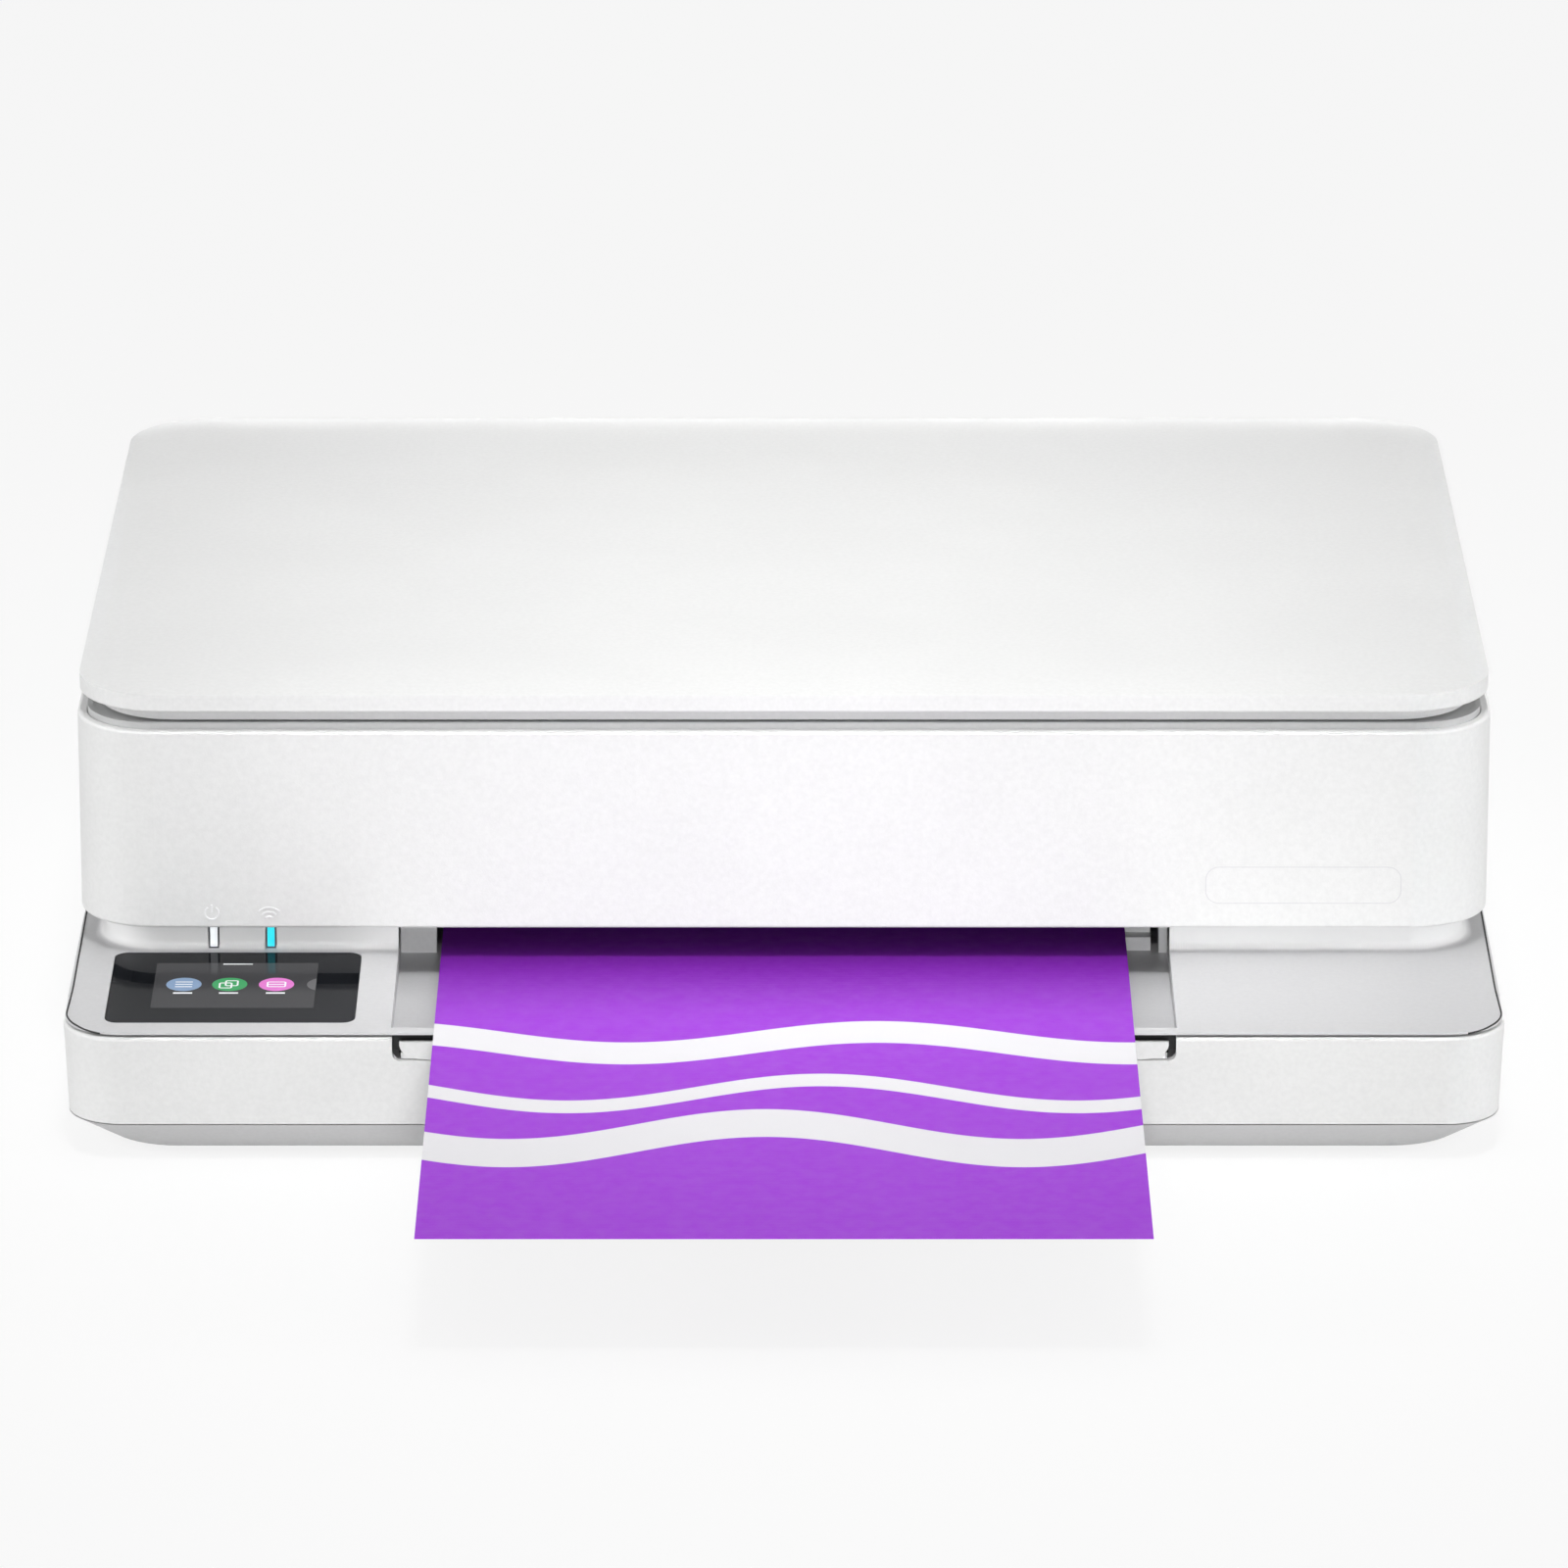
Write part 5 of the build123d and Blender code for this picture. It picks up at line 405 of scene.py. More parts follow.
def bumped(tree, inputs, height, distance):
    """Bump of a given depth in metres on the shader's Normal."""
    made = node(tree, "ShaderNodeBump", {"Height": height, "Distance": distance, "Strength": 1.0})
    feed(tree, inputs, Normal=made.outputs[0])


def scaled(colour, share):
    """Colour with each channel times a share."""
    return tuple(min(1.0, channel * share) for channel in colour)


def split_axes(tree, place):
    """X, Y and Z outputs of coordinates."""
    return node(tree, "ShaderNodeSeparateXYZ", {"Vector": place}).outputs


def overlay(made, colour, mask_of):
    """Lay a colour over a material's Base Color by a mask made from its tree and X, Y, Z."""
    tree = made.node_tree
    inputs = next(n for n in tree.nodes if n.type == "BSDF_PRINCIPLED").inputs
    axes = split_axes(tree, node(tree, "ShaderNodeTexCoord").outputs["Object"])
    below = inputs["Base Color"].links[0].from_socket
    feed(tree, inputs, Base_Color=tone(tree, mask_of(tree, axes), below, colour))


def moulded(
    name, colour, size=0.6 * MM, deep=0.035 * MM, rough=(0.40, 0.54), fleck=0.035, **constants
):
    """Grained injection-moulded plastic of one colour."""
    made, tree, inputs, place = new_material(name, **constants)
    grain = use(tree, GRAIN, place, Size=size)
    mottle = weigh(tree, grain["Fleck"], grain["Drift"], 0.7)
    feed(
        tree,
        inputs,
        Base_Color=tone(tree, mottle, scaled(colour, 1 - fleck), scaled(colour, 1 + fleck)),
        Roughness=remap(tree, mottle, UNIT, rough),
    )
    bumped(tree, inputs, grain["Height"], deep)
    return made


def painted_shade_split(name, colour, dark, limits, **settings):
    """Grained plastic with painted shade, dark where every listed axis lies on the given side of
    its limit.
    """
    def mask_of(tree, axes):
        mask = 1.0
        for axis, side, limit in limits:
            mask = calc(tree, "MULTIPLY", mask, calc(tree, side, axes[axis], limit))
        return mask

    made = moulded(name, colour, **settings)
    overlay(made, dark, mask_of)
    return made


def deck_painted_light_shade(name, colour):
    """Deck plastic: painted shade on the hidden wall behind the drawer's notch, and a whiter neck,
    partly its own plastic and partly painted light.
    """
    def neck_light_of(tree, axes):
        return remap(tree, axes["Z"], NECK_FADE, UNIT, smooth=True)

    wall = ("Y", "LESS_THAN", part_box("top_deck")[0][1] + WALL_BEHIND)
    under = ("Z", "LESS_THAN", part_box("touch_panel")[1][2] - LIP_BELOW_PANEL)
    # Painted shade: the wall behind the notch is dark where its gap is in shade
    made = painted_shade_split(name, colour, NOTCH_PAINTED_SHADE, (wall, under), rough=(0.36, 0.48))
    # Painted light: the neck is whiter than the shell, partly its own colour, against the
    # overhang's shade
    overlay(made, NECK_WHITE_PAINTED_LIGHT, neck_light_of)
    return made


def drawn_metal(name, colour, stretch, rough=(0.28, 0.42)):
    """Metal with drawing or grinding lines along one axis and faint stains."""
    made, tree, inputs, place = new_material(name, Metallic=1.0)
    lines = use(tree, BRUSHED, place, Stretch=stretch)
    stained = weigh(tree, lines["Streak"], lines["Stain"], 0.6)
    feed(
        tree,
        inputs,
        Base_Color=tone(tree, stained, scaled(colour, 0.86), scaled(colour, 1.08)),
        Roughness=remap(tree, stained, UNIT, rough),
    )
    bumped(tree, inputs, lines["Height"], 0.006 * MM)
    return made


def soft_rubber(name, colour, bloom):
    """Matt rubber with a pale bloom."""
    made, tree, inputs, place = new_material(name, Specular_IOR_Level=0.35)
    skin = use(tree, RUBBER, place)
    feed(
        tree,
        inputs,
        Base_Color=tone(tree, skin["Bloom"], colour, bloom),
        Roughness=remap(tree, skin["Bloom"], UNIT, (0.62, 0.8)),
    )
    bumped(tree, inputs, skin["Height"], 0.03 * MM)
    return made


def belt_rubber(name):
    """Black belt with teeth: a wave along X over a rubber skin."""
    made, tree, inputs, place = new_material(name)
    skin = use(tree, RUBBER, place)
    wave = {"Vector": place, "Scale": BELT_TEETH}
    teeth = node(tree, "ShaderNodeTexWave", wave, bands_direction="X").outputs[1]
    feed(
        tree,
        inputs,
        Base_Color=tone(tree, skin["Bloom"], (0.02, 0.02, 0.021), (0.05, 0.05, 0.05)),
        Roughness=remap(tree, teeth, UNIT, (0.5, 0.75)),
    )
    bumped(tree, inputs, teeth, 0.3 * MM)
    return made


def dark_panel(name):
    """Dark gloss glass with a faint blue cast and a few dust specks that dull the gloss."""
    made, tree, inputs, place = new_material(name, Specular_IOR_Level=0.06)
    grain = use(tree, GRAIN, place, Size=0.25 * MM, Drift_Size=50 * MM)
    feed(
        tree,
        inputs,
        Base_Color=tone(tree, grain["Drift"], (0.009, 0.010, 0.012), (0.015, 0.016, 0.020)),
        Roughness=remap(tree, grain["Fleck"], (0.6, 1.0), (0.05, 0.12)),
    )
    return made


def clear_glass(name):
    """Clear scanner glass with a green edge cast and faint haze."""
    made, tree, inputs, place = new_material(name, Transmission_Weight=1.0, IOR=1.5)
    grain = use(tree, GRAIN, place)
    feed(
        tree,
        inputs,
        Base_Color=tone(tree, grain["Drift"], (0.86, 0.93, 0.91), (0.9, 0.95, 0.94)),
        Roughness=remap(tree, grain["Fleck"], UNIT, (0.0, 0.03)),
    )
    return made


def lit_bar(name, piece, low, high, strength):
    """Milky light pipe that glows in clouds, with painted shade as a dark rim along its sides and
    its foot.
    """
    made, tree, inputs, place = new_material(name, Roughness=0.3, Emission_Strength=strength)
    grain = use(tree, GRAIN, place, Size=1.2 * MM)
    near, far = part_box(piece)
    axes = split_axes(tree, place)
    off_middle = calc(tree, "SUBTRACT", axes["X"], (near[0] + far[0]) / 2)
    half = (far[0] - near[0]) / 2
    sides = calc(tree, "GREATER_THAN", calc(tree, "ABSOLUTE", off_middle), half - BAR_SHADE_RIM)
    foot = calc(tree, "LESS_THAN", axes["Y"], near[1] + BAR_SHADE_RIM)
    glow = tone(tree, grain["Fleck"], low, high)
    # Painted shade: the rim is dark where the bar's pocket shades it
    rim_shaded = tone(tree, calc(tree, "MAXIMUM", sides, foot), glow, BAR_PAINTED_SHADE)
    feed(tree, inputs, Base_Color=rim_shaded, Emission_Color=rim_shaded)
    return made


def circuit_board(name):
    """Green board with paler tracks and pads; whatever stands above it is dark moulding."""
    made, tree, inputs, place = new_material(name)
    tracks = node(tree, "ShaderNodeTexBrick", {"Vector": place, **TRACKS}).outputs["Fac"]
    board_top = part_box("main_board")[0][2] + BOARD_THICK
    raised = calc(tree, "GREATER_THAN", split_axes(tree, place)["Z"], board_top)
    green = tone(tree, tracks, *BOARD_GREENS)
    feed(
        tree,
        inputs,
        Base_Color=tone(tree, raised, green, BOARD_PARTS),
        Roughness=remap(tree, tracks, UNIT, (0.35, 0.5)),
    )
    bumped(tree, inputs, tracks, 0.05 * MM)
    return made


def violet_print(name):
    """Coated sheet printed violet: deeper towards the slot, partly by its print and partly as
    painted shade under the upper case, with pale waves and fine feed bands.

    A wave is a band round a line whose place along the feed is a sine of the place across the
    sheet. The light it throws on its surroundings is held nearer to grey than the print.
    """
    made, tree, inputs, place = new_material(name, Specular_IOR_Level=0.3)
    paper = use(tree, FIBRE, place)
    axes = split_axes(tree, place)
    across, along = axes["X"], axes["Y"]
    slot_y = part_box("upper_case")[0][1]
    front_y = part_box("printed_sheet")[0][1]
    # Darker towards the slot: partly the print, partly painted shade under the upper case
    depth = remap(tree, along, (front_y + VIOLET_LONG, slot_y), UNIT, smooth=True)
    wave = {"Vector": place, "Scale": BAND_SCALE}
    bands = node(tree, "ShaderNodeTexWave", wave, bands_direction="Y").outputs[1]
    faint = calc(tree, "MULTIPLY", bands, BAND_SHARE)
    inked = tone(tree, faint, tone(tree, depth, *VIOLETS_PRINT_AND_SHADE), BAND_VIOLET)
    mask = 0.0
    for middle, wide, swing, rate, shift in WAVES:
        angle = calc(tree, "ADD", calc(tree, "MULTIPLY", across, rate), shift)
        swung = calc(tree, "MULTIPLY", calc(tree, "SINE", angle), swing)
        off_line = calc(tree, "SUBTRACT", along, calc(tree, "ADD", swung, middle))
        band = remap(tree, calc(tree, "ABSOLUTE", off_line), (wide, wide + WAVE_EDGE), (1.0, 0.0))
        mask = calc(tree, "MAXIMUM", mask, band)
    printed = tone(tree, mask, inked, WAVE_WHITE)
    diffuse = node(tree, "ShaderNodeLightPath").outputs["Is Diffuse Ray"]
    thrown = calc(tree, "MULTIPLY", diffuse, PRINT_NEUTRAL)
    feed(
        tree,
        inputs,
        Base_Color=tone(tree, thrown, printed, THROWN_GREY),
        Roughness=remap(tree, paper["Cloud"], UNIT, (0.42, 0.56)),
    )
    bumped(tree, inputs, paper["Height"], 0.012 * MM)
    return made


# Settings that several looks share or that are too long for the list, then the look of each slot
SHELL_WHITE = (0.85, 0.852, 0.848)
MATT = {"rough": (0.45, 0.6)}
SLEEK = {"rough": (0.3, 0.45)}
FINE = {"size": 0.3 * MM, "deep": 0.01 * MM}
STICKER = {**FINE, "rough": (0.3, 0.4)}
PAD_FILM = {"size": 1.5 * MM, "deep": 0.05 * MM, "rough": (0.35, 0.5)}
GEAR_PLASTIC = {"size": 0.4 * MM, "rough": (0.3, 0.42), "Subsurface_Weight": 0.05}
POWER_GLOW = ((0.72, 0.75, 0.78), (0.84, 0.87, 0.89), 0.65)
WIRELESS_GLOW = ((0.01, 0.43, 0.58), (0.03, 0.59, 0.66), 1.0)

LOOKS = {
    "white_shell": moulded("shell white", SHELL_WHITE),
    "deck_white": deck_painted_light_shade("deck white", (0.68, 0.68, 0.69)),
    "base_grey": moulded("base grey", (0.66, 0.66, 0.665)),
    "liner_grey": moulded("bezel grey", (0.61, 0.615, 0.615), **MATT),
    "pad_white": moulded("pad film", (0.86, 0.86, 0.86), **PAD_FILM),
    "inner_black": moulded("chassis black", (0.022, 0.022, 0.024), rough=(0.45, 0.65), fleck=0.2),
    "inner_grey": moulded("mechanism grey", (0.16, 0.16, 0.165), fleck=0.1, **MATT),
    "bin_grey": moulded("bin grey", (0.56, 0.56, 0.57)),
    "panel_glass": dark_panel("panel glass"),
    "clear_glass": clear_glass("scanner glass"),
    "light_white": lit_bar("power glow", "power_light", *POWER_GLOW),
    "light_cyan": lit_bar("wireless glow", "wireless_light", *WIRELESS_GLOW),
    "steel": drawn_metal("sheet steel", (0.56, 0.57, 0.58), ALONG_X),
    "shaft_steel": drawn_metal("ground steel", (0.62, 0.62, 0.63), ALONG_Y, rough=(0.18, 0.28)),
    "roller_rubber": soft_rubber("roller rubber", (0.05, 0.05, 0.055), (0.12, 0.12, 0.12)),
    "foot_rubber": soft_rubber("foot rubber", (0.10, 0.10, 0.105), (0.18, 0.18, 0.18)),
    "belt_rubber": belt_rubber("belt rubber"),
    "gear_white": moulded("gear plastic", (0.74, 0.72, 0.66), **GEAR_PLASTIC),
    "brass": drawn_metal("turned brass", (0.70, 0.50, 0.20), ALONG_Y),
    "board_green": circuit_board("circuit board"),
    "ink_black": moulded("black cartridge", (0.025, 0.025, 0.027), fleck=0.2, **SLEEK),
    "ink_colour": moulded("colour cartridge", (0.06, 0.075, 0.14), fleck=0.15, **SLEEK),
    "latch_grey": moulded("latch grey", (0.35, 0.36, 0.37)),
    "printed_paper": violet_print("violet print"),
}

# Nodes with a look of their own
# Painted shade: the catcher's plate behind its tab is dark, as the notch's gap is in shade
TAB_SHADE_LIMIT = ("Y", "GREATER_THAN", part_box("output_extender")[0][1] + TAB_DEEP)
OWN_LOOKS = {
    "lid_liner": moulded("liner grey", (0.76, 0.76, 0.76), **MATT),
    "output_extender": painted_shade_split("catcher white painted shade", SHELL_WHITE, TAB_PAINTED_SHADE, (TAB_SHADE_LIMIT,)),
}

for entry in frame["record"]["subparts"]:
    look = OWN_LOOKS.get(entry["node"], LOOKS[entry["material_slot"]])
    for material_slot in NODES[entry["node"]].material_slots:
        material_slot.material = look


# New pieces

def put(name, shape, look, body):
    """Mesh piece from points and faces, doubles merged and faces turned outwards."""
    points, faces = shape
    mesh = bpy.data.meshes.new(name)
    mesh.from_pydata(np.asarray(points).tolist(), [], [list(face) for face in faces])
    work = bmesh.new()
    work.from_mesh(mesh)
    bmesh.ops.remove_doubles(work, verts=work.verts, dist=MERGE_WITHIN)
    bmesh.ops.recalc_face_normals(work, faces=work.faces)
    work.to_mesh(mesh)
    work.free()
    mesh.materials.append(look)
    piece = bpy.data.objects.new(name, mesh)
    bpy.context.scene.collection.objects.link(piece)
    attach(piece, body)


def grid_faces(rows, columns, wrap_rows=False):
    """Quads of a grid of points, closed round along its columns and, if wanted, its rows."""
    i, j = np.meshgrid(np.arange(rows - (not wrap_rows)), np.arange(columns), indexing="ij")
    i, j = i.ravel(), j.ravel()
    below, beside = (i + 1) % rows, (j + 1) % columns
    corners = (i * columns + j, below * columns + j, below * columns + beside, i * columns + beside)
    return np.stack(corners, axis=1).tolist()


def ribbon(path, wide, rise, closed=False):
    """Flat-topped line: a rectangle, wide across and rise high, along a path of (u, v) points.

    The sideways direction at a point is the path's direction there turned by a right angle.
    """
    path = np.asarray(path, float)
    if closed:
        ahead = np.roll(path, -1, axis=0) - np.roll(path, 1, axis=0)
    else:
        ahead = np.gradient(path, axis=0)
    ahead /= np.linalg.norm(ahead, axis=1, keepdims=True)
    aside = np.stack([-ahead[:, 1], ahead[:, 0]], axis=1) * wide / 2
    flat = np.zeros((len(path), 1))
    corners = ((path + aside, 0.0), (path - aside, 0.0), (path - aside, rise), (path + aside, rise))
    points = np.stack([np.hstack([edge, flat + level]) for edge, level in corners], axis=1)
    faces = grid_faces(len(path), 4, closed)
    if not closed:
        last = 4 * (len(path) - 1)
        faces += [[0, 1, 2, 3], [last + 3, last + 2, last + 1, last]]
    return points.reshape(-1, 3), faces


def arc(middle, radius, start, end, steps=24):
    """Points on a circle between two angles."""
    angle = np.linspace(start, end, steps)
    u = middle[0] + radius * np.cos(angle)
    return np.stack([u, middle[1] + radius * np.sin(angle)], axis=1)


def rounded_outline(u, v, corner, steps=8):
    """Closed outline of a rectangle between u and v limits, a quarter circle at each corner."""
    turns = ((u[1], v[1], 1, 1), (u[0], v[1], -1, 1), (u[0], v[0], -1, -1), (u[1], v[0], 1, -1))
    quarter = math.pi / 2
    arcs = []
    for turn, (x, y, out_x, out_y) in enumerate(turns):
        middle = (x - out_x * corner, y - out_y * corner)
        arcs.append(arc(middle, corner, turn * quarter, (turn + 1) * quarter, steps))
    return np.concatenate(arcs)


def pad(outline, rise):
    """Low closed plate: the outline shrunk to its middle in rings, flat below and above."""
    outline = np.asarray(outline, float)
    middle = outline.mean(axis=0)
    shares = np.array([0.0, 1.0, 1.0, 0.99, 0.5, 0.0])
    heights = np.array([0.0, 0.0, 0.7, 1.0, 1.0, 1.0]) * rise
    rings = middle + (outline - middle)[None] * shares[:, None, None]
    levels = np.broadcast_to(heights[:, None, None], (*rings.shape[:2], 1))
    points = np.concatenate([rings, levels], axis=2).reshape(-1, 3)
    return points, grid_faces(len(shares), len(outline))


def joined(parts):
    """Several sets of points and faces as one."""
    points = np.concatenate([part[0] for part in parts])
    starts = np.cumsum([0] + [len(part[0]) for part in parts[:-1]])
    faces = []
    for part, start in zip(parts, starts):
        faces += [[corner + start for corner in face] for face in part[1]]
    return points, faces


def on_panel(shape, lift=0.0):
    """Shape of (u, v, rise) points on the sloping glass: u is X, v runs back from its front."""
    points, faces = shape
    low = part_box("touch_panel")[0]
    right = np.array([1.0, 0.0, 0.0])
    up = np.array([0.0, -math.sin(DECK_SLOPE), math.cos(DECK_SLOPE)])
    back = np.array([0.0, math.cos(DECK_SLOPE), math.sin(DECK_SLOPE)])
    front = np.array([0.0, low[1], low[2] + PANEL_THICK * math.cos(DECK_SLOPE)])
    placed = right * points[:, :1] + back * points[:, 1:2] + up * (points[:, 2:] + lift)
    return placed + front, faces


def on_fascia(shape):
    """Shape of (u, v, rise) points stood on the front of the upper case: u is X, v is height."""
    points, faces = shape
    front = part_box("upper_case")[0][1]
    return np.stack([points[:, 0], front - points[:, 2], points[:, 1]], axis=1), faces


# Screen: dim field, four round icons with plain signs, a bar under each and a handle line

def ink(name, colour, glow=0.2):
    """Screen colour: evenly lit, with a fine dot grid in its brightness."""
    made, tree, inputs, place = new_material(
        name, Roughness=0.12, Specular_IOR_Level=0.06, Emission_Strength=glow
    )
    dots = cells(tree, place, SCREEN_DOTS)
    lit = tone(tree, dots, scaled(colour, 1.05), scaled(colour, 0.92))
    feed(tree, inputs, Base_Color=lit, Emission_Color=lit)
    return made


def on_screen(name, shape, lift, look):
    """Piece on the touch panel."""
    put(name, on_panel(shape, lift), look, "case")


def line(start, end, wide=GLYPH_LINE):
    """Straight line between two points."""
    return ribbon(np.linspace(start, end, 3), wide, FILM)


def frame_line(u, v):
    """Thin rounded frame between u and v limits."""
    return ribbon(rounded_outline(u, v, GLYPH_CORNER, GLYPH_STEPS), GLYPH_LINE, FILM, closed=True)


def icon_signs():
    """Bars, two sheets, a page with a line across it, the bars under the icons and the handle."""
    menu, copy, scan, _ = ICON_X
    mid = ICON_ALONG
    parts = []
    for v in (mid - MENU_STEP, mid, mid + MENU_STEP):
        parts.append(line((menu - MENU_HALF, v), (menu + MENU_HALF, v)))
    for shift in (-COPY_SHIFT, COPY_SHIFT):
        sheet_u = (copy + COPY_X[0] + shift, copy + COPY_X[1] + shift)
        parts.append(frame_line(sheet_u, (mid - COPY_HALF + shift, mid + COPY_HALF + shift)))
    page_u = (scan - PAGE_HALF_X, scan + PAGE_HALF_X)
    parts.append(frame_line(page_u, (mid - PAGE_HALF_ALONG, mid + PAGE_HALF_ALONG)))
    parts.append(line((page_u[0], mid), (page_u[1], mid)))
    for x in (menu, copy, scan):
        start, end = (x - LABEL_LONG / 2, LABEL_ALONG), (x + LABEL_LONG / 2, LABEL_ALONG)
        parts.append(line(start, end, LABEL_WIDE))
    parts.append(line((HANDLE_X[0], HANDLE_ALONG), (HANDLE_X[1], HANDLE_ALONG), HANDLE_WIDE))
    return joined(parts)


SCREEN_FIELD = ink("screen field", (0.050, 0.050, 0.053), 0.3)
SCREEN_WHITE = ink("screen white", (0.80, 0.81, 0.83))
ICON_INKS = (
    ink("icon slate", (0.24, 0.34, 0.50)),
    ink("icon green", (0.064, 0.34, 0.13)),
    ink("icon pink", (0.69, 0.20, 0.57)),
    ink("icon grey", (0.14, 0.14, 0.145)),
)

field = rounded_outline(FIELD_X, FIELD_ALONG, FIELD_CORNER)
on_screen("screen_field", pad(field, FILM), 0.0, SCREEN_FIELD)

disc = arc((0.0, 0.0), ICON_RADIUS, 0.0, 2 * math.pi * (ICON_STEPS - 1) / ICON_STEPS, ICON_STEPS)
for number, (x, icon_ink) in enumerate(zip(ICON_X, ICON_INKS)):
    outline = disc + (x, ICON_ALONG)
    outline[:, 0] = np.minimum(outline[:, 0], FIELD_X[1])
    on_screen(f"screen_icon_{number + 1}", pad(outline, FILM), FILM, icon_ink)
on_screen("screen_signs", icon_signs(), 2 * FILM, SCREEN_WHITE)


# Marks above the light bars and the line round the bare plate

def on_front(name, shape, look):
    """Piece on the front of the upper case."""
    put(name, on_fascia(shape), look, "scanner")


def power_mark(x):
    """Open ring with an upright stroke through its gap."""
    start, end = TOP + POWER_MARK_GAP, TOP + 2 * math.pi - POWER_MARK_GAP
    ring = arc((x, MARK_HEIGHT), POWER_MARK_RADIUS, start, end, steps=40)
    stroke = np.linspace((x, MARK_HEIGHT + POWER_STROKE[0]), (x, MARK_HEIGHT + POWER_STROKE[1]), 3)
    return joined([ribbon(path, MARK_LINE, MARK_PROUD) for path in (ring, stroke)])


def wave_mark(x):
    """Three arcs of growing radius."""
    foot = (x, MARK_HEIGHT - WAVE_DROP)
    arcs = [arc(foot, radius, TOP - WAVE_HALF, TOP + WAVE_HALF) for radius in WAVE_RADII]
    return joined([ribbon(path, MARK_LINE, MARK_PROUD) for path in arcs])


def middle_x(name):
    """Place along X of the middle of a CAD node."""
    low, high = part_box(name)
    return (low[0] + high[0]) / 2


MARK_WHITE = moulded("mark white", (0.93, 0.93, 0.94), **FINE)
PLATE_TONE = moulded("plate line", (0.74, 0.74, 0.75), **FINE)
on_front("power_mark", power_mark(middle_x("power_light")), MARK_WHITE)
on_front("wireless_mark", wave_mark(middle_x("wireless_light")), MARK_WHITE)
plate = rounded_outline(PLATE_X, PLATE_Z, PLATE_CORNER)
on_front("blank_plate", ribbon(plate, PLATE_LINE, PLATE_PROUD, closed=True), PLATE_TONE)


# Labels on top of the cartridges, each with its ink colours as stripes

LABEL_PAPER = moulded("label paper", (0.80, 0.80, 0.79), **STICKER)
CARTRIDGE_INKS = {
    "black": (("key", (0.02, 0.02, 0.022)),),
    "colour": (
        ("cyan", (0.02, 0.36, 0.62)),
        ("magenta", (0.62, 0.03, 0.24)),
        ("yellow", (0.85, 0.66, 0.03)),
    ),
}


def label_cartridge(kind, inks):
    """Label on the highest face of a cartridge, with a stripe for each ink."""
    low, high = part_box(kind + "_cartridge")
    top = np.array([0.0, 0.0, high[2]])
    across = (low[0] + LABEL_MARGIN, high[0] - LABEL_MARGIN)
    along = (low[1] + LABEL_FRONT, high[1] - LABEL_REAR)
    points, faces = pad(rounded_outline(across, along, LABEL_CORNER), FILM)
    put(kind + "_label", (points + top, faces), LABEL_PAPER, "carriage")
    for number, (ink_name, colour) in enumerate(inks, 1):
        y = along[0] + STRIPE_PITCH * number
        start, end = (across[0] + STRIPE_IN, y), (across[1] - STRIPE_IN, y)
        points, faces = line(start, end, STRIPE_WIDE)
        stripe = (points + (0.0, 0.0, FILM) + top, faces)
        look = moulded(ink_name + " stripe", colour, **STICKER)
        put(f"{kind}_stripe_{number}", stripe, look, "carriage")


for kind, inks in CARTRIDGE_INKS.items():
    label_cartridge(kind, inks)


# Dark bead in the deck's seam: painted shadow where the gap is in shade

def bead(path, radius, sides=8):
    """Round line: a circle of the given radius carried along a path of (x, y, z) points.

    A point of the circle is the path's point plus the radius times the cosine of its angle
    sideways and the sine of its angle upwards; sideways is the path's level direction turned by a
    right angle.
    """
    ahead = np.gradient(path[:, :2], axis=0)
    ahead /= np.linalg.norm(ahead, axis=1, keepdims=True)
    aside = np.stack([-ahead[:, 1], ahead[:, 0], np.zeros(len(path))], axis=1)
    angle = np.linspace(0.0, 2 * math.pi, sides, endpoint=False)[None, :, None]
    ring = np.cos(angle) * aside[:, None] + np.sin(angle) * np.array([0.0, 0.0, 1.0])
    points = path[:, None] + radius * ring
    last = sides * (len(path) - 1)
    ends = [list(range(sides)), list(range(last + sides - 1, last - 1, -1))]
    return points.reshape(-1, 3), grid_faces(len(path), sides) + ends


def deck_height(y):
    """Height of the sloping deck at a place along Y."""
    origin = on_panel((np.zeros((1, 3)), []))[0][0]
    return origin[2] + (y - origin[1]) * math.tan(DECK_SLOPE)


def deck_seam(side):
    """Path over the rounded corner of the deck and along its side, its inset growing from none.

    A point of the corner lies at its angle on a circle of the corner radius less the inset, and on
    the side the path runs straight back. The height climbs from the foot of the deck's edge, at
    the gap along the front, to the sloping deck.
    """
    low, high = (np.array(corner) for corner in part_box("top_deck"))
    turn = np.linspace(SEAM_CLIMB[0], 0.0, SEAM_STEPS[0])
    straight = np.linspace(0.0, SEAM_LONG, SEAM_STEPS[1])[1:]
    run = DECK_CORNER * (turn - SEAM_CLIMB[1])
    run = np.concatenate([run, run[-1] + straight])
    climbed = np.clip((turn - SEAM_CLIMB[0]) / (SEAM_CLIMB[1] - SEAM_CLIMB[0]), 0.0, 1.0)
    climbed = np.concatenate([climbed, np.ones(len(straight))])
    inset = SEAM_INSET * np.clip(run / SEAM_BLEND, 0.0, 1.0)
    reach = DECK_CORNER - inset[: len(turn)]
    corner_x = high[0] - DECK_CORNER + reach * np.cos(turn)
    corner_y = low[1] + DECK_CORNER + reach * np.sin(turn)
    x = np.concatenate([corner_x, high[0] - inset[len(turn):]])
    y = np.concatenate([corner_y, low[1] + DECK_CORNER + straight])
    foot = deck_height(low[1]) - DECK_EDGE + SEAM_FOOT
    return np.stack([side * x, y, foot + (deck_height(y) - foot) * climbed], axis=1)


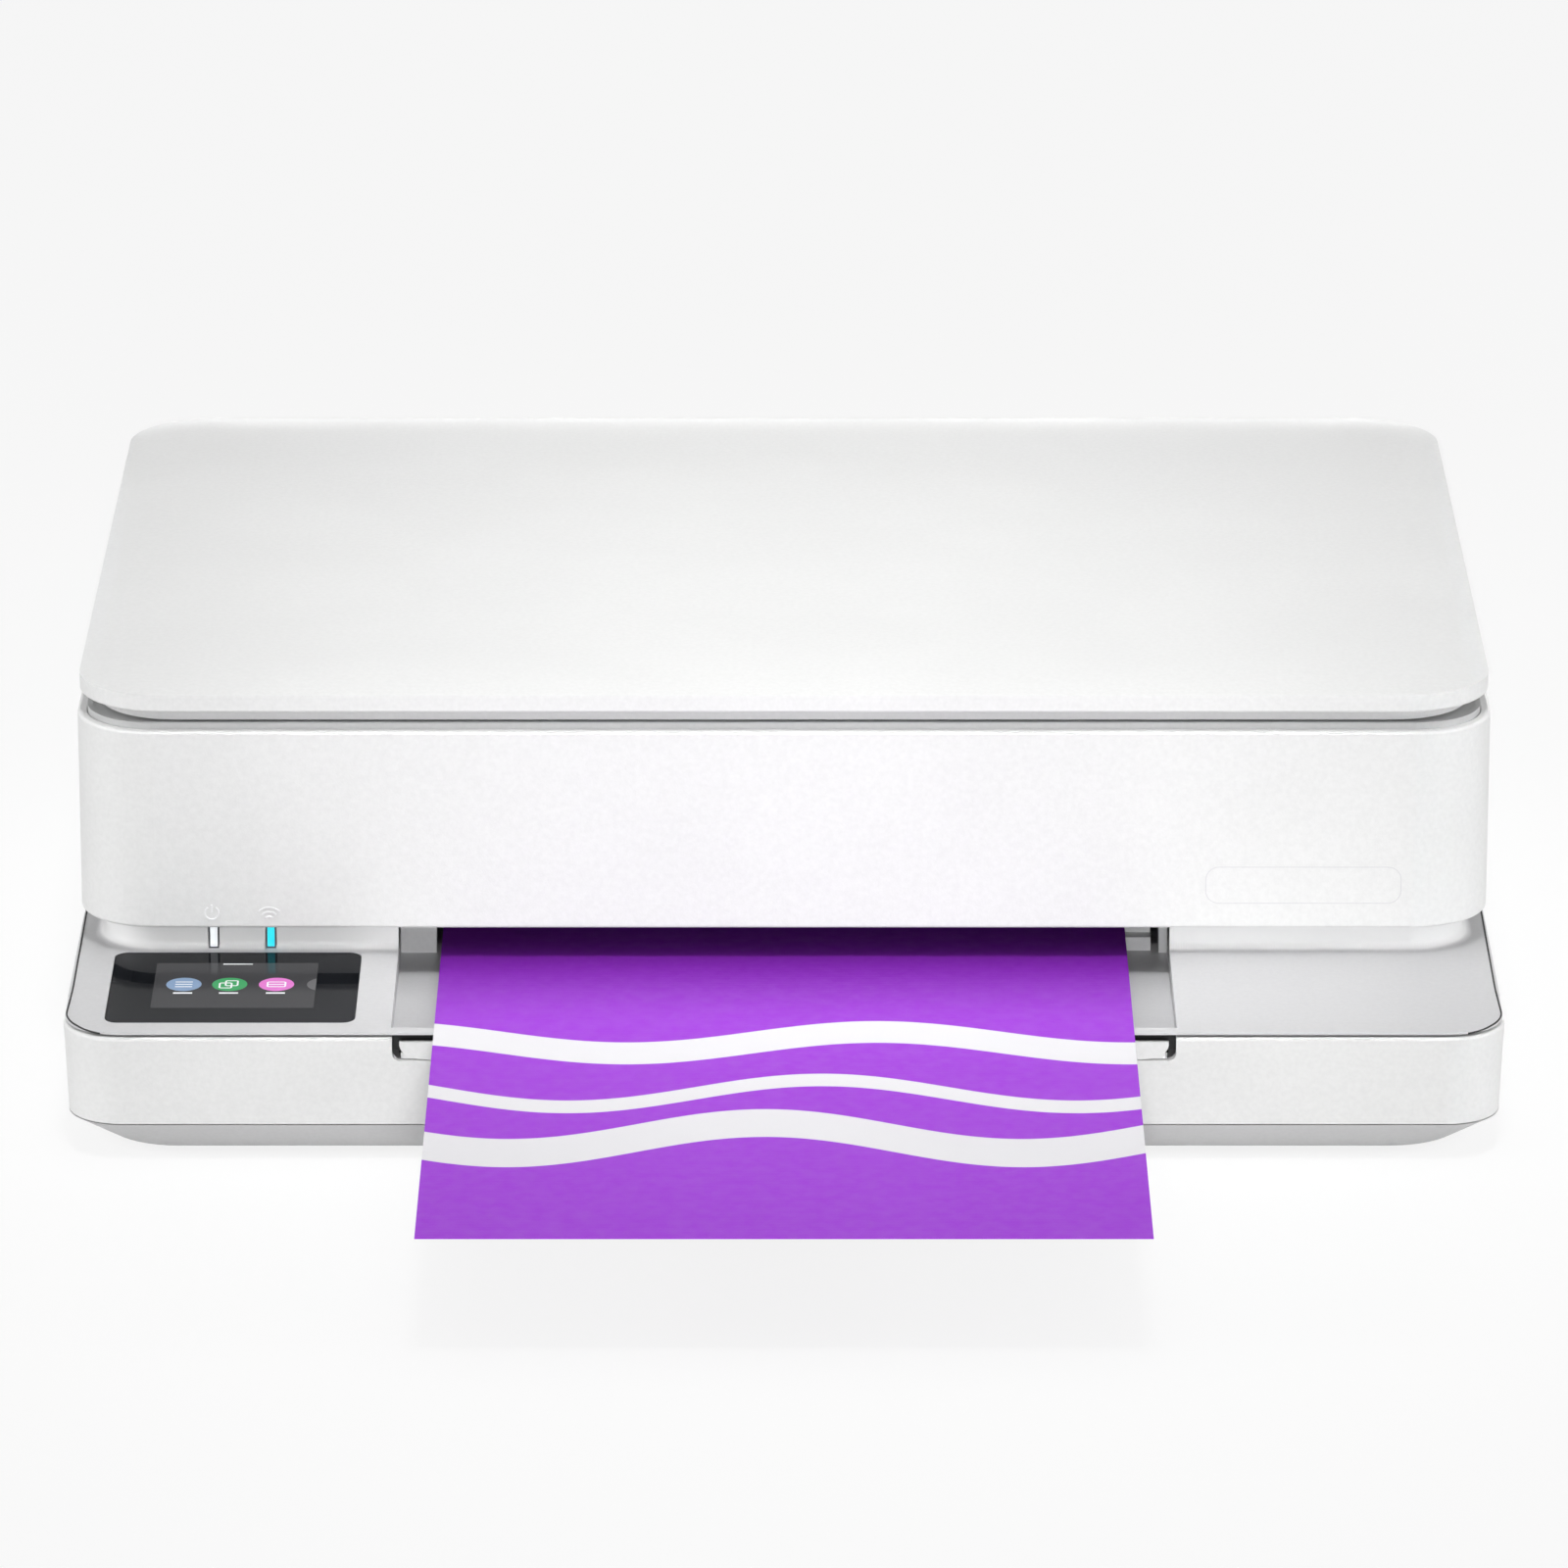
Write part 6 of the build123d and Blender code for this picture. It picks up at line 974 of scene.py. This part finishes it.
# Painted shadow: a dark bead in the gap round the deck, where there is only shade
SEAM_PAINTED_SHADOW = soft_rubber("seam painted shadow", (0.02, 0.02, 0.021), (0.035, 0.035, 0.035))
for side, name in ((-1, "left_deck_seam_shadow"), (1, "right_deck_seam_shadow")):
    put(name, bead(deck_seam(side), SEAM_RADIUS), SEAM_PAINTED_SHADOW, "case")


# Stage: floor, world, lamps and camera

def grey(value):
    """Opaque grey of one value."""
    return (value, value, value, 1.0)


def seen_or_not(tree, seen, unseen):
    """Mix of two shaders: one for camera, glossy and transmission rays, the other for the rest."""
    path = node(tree, "ShaderNodeLightPath").outputs
    either = calc(tree, "MAXIMUM", path["Is Camera Ray"], path["Is Glossy Ray"])
    direct = calc(tree, "MAXIMUM", either, path["Is Transmission Ray"])
    shaders = {0: direct, 1: unseen.outputs[0], 2: seen.outputs[0]}
    return node(tree, "ShaderNodeMixShader", shaders).outputs[0]


def pale_floor():
    """Large plane that keeps the shadow: white where seen, pale where it only throws light back."""
    square = [(x * FLOOR_HALF, y * FLOOR_HALF, 0) for x, y in ((-1, -1), (1, -1), (1, 1), (-1, 1))]
    mesh = bpy.data.meshes.new("floor")
    mesh.from_pydata(square, [], [(0, 1, 2, 3)])
    floor = bpy.data.objects.new("floor", mesh)
    bpy.context.scene.collection.objects.link(floor)
    look = bpy.data.materials.new("floor")
    look.use_nodes = True
    tree = look.node_tree
    tree.nodes.clear()
    shade = node(tree, "ShaderNodeBsdfDiffuse", {"Color": grey(FLOOR_SHADE)})
    glow = node(tree, "ShaderNodeEmission", {"Color": grey(1.0), "Strength": FLOOR_GLOW})
    seen = node(tree, "ShaderNodeAddShader", {0: shade.outputs[0], 1: glow.outputs[0]})
    bounce = node(tree, "ShaderNodeBsdfDiffuse", {"Color": grey(FLOOR_BOUNCE)})
    node(tree, "ShaderNodeOutputMaterial", {"Surface": seen_or_not(tree, seen, bounce)})
    mesh.materials.append(look)


def studio_world():
    """White where it is seen, and a soft grey fill otherwise."""
    world = bpy.data.worlds.new("studio")
    bpy.context.scene.world = world
    world.use_nodes = True
    tree = world.node_tree
    tree.nodes.clear()
    fill = node(tree, "ShaderNodeBackground", {"Color": grey(1.0), "Strength": WORLD_FILL})
    seen = node(tree, "ShaderNodeBackground", {"Color": grey(1.0), "Strength": 1.0})
    node(tree, "ShaderNodeOutputWorld", {"Surface": seen_or_not(tree, seen, fill)})


def soft_lamp(name, place, aim, size, power, spread=math.pi, shine=True):
    """Area lamp aimed at a place, its beam held to a spread; without shine it isn't reflected."""
    lamp = bpy.data.lights.new(name, "AREA")
    lamp.shape = "RECTANGLE"
    lamp.size, lamp.size_y = size
    lamp.energy = power
    lamp.spread = spread
    holder = bpy.data.objects.new(name, lamp)
    bpy.context.scene.collection.objects.link(holder)
    holder.location = place
    holder.visible_glossy = shine
    direction = np.array(aim) - np.array(place)
    pitch = math.acos(-direction[2] / np.linalg.norm(direction))
    heading = math.atan2(-direction[0], direction[1])
    holder.rotation_euler = (pitch, 0.0, heading)


def photo_camera():
    """Camera at the photo's angle."""
    eye = bpy.data.cameras.new("camera")
    eye.sensor_width = SENSOR_MM
    eye.lens = FOCAL_PIXELS / PHOTO_SIDE * SENSOR_MM
    eye.clip_end = CAMERA_REACH
    camera = bpy.data.objects.new("camera", eye)
    bpy.context.scene.collection.objects.link(camera)
    camera.location = CAMERA_PLACE
    camera.rotation_euler = (math.pi / 2 - CAMERA_PITCH, 0.0, 0.0)
    bpy.context.scene.camera = camera


pale_floor()
studio_world()
for lamp in LAMPS:
    soft_lamp(*lamp)
photo_camera()
bpy.context.scene.view_settings.view_transform = "Standard"
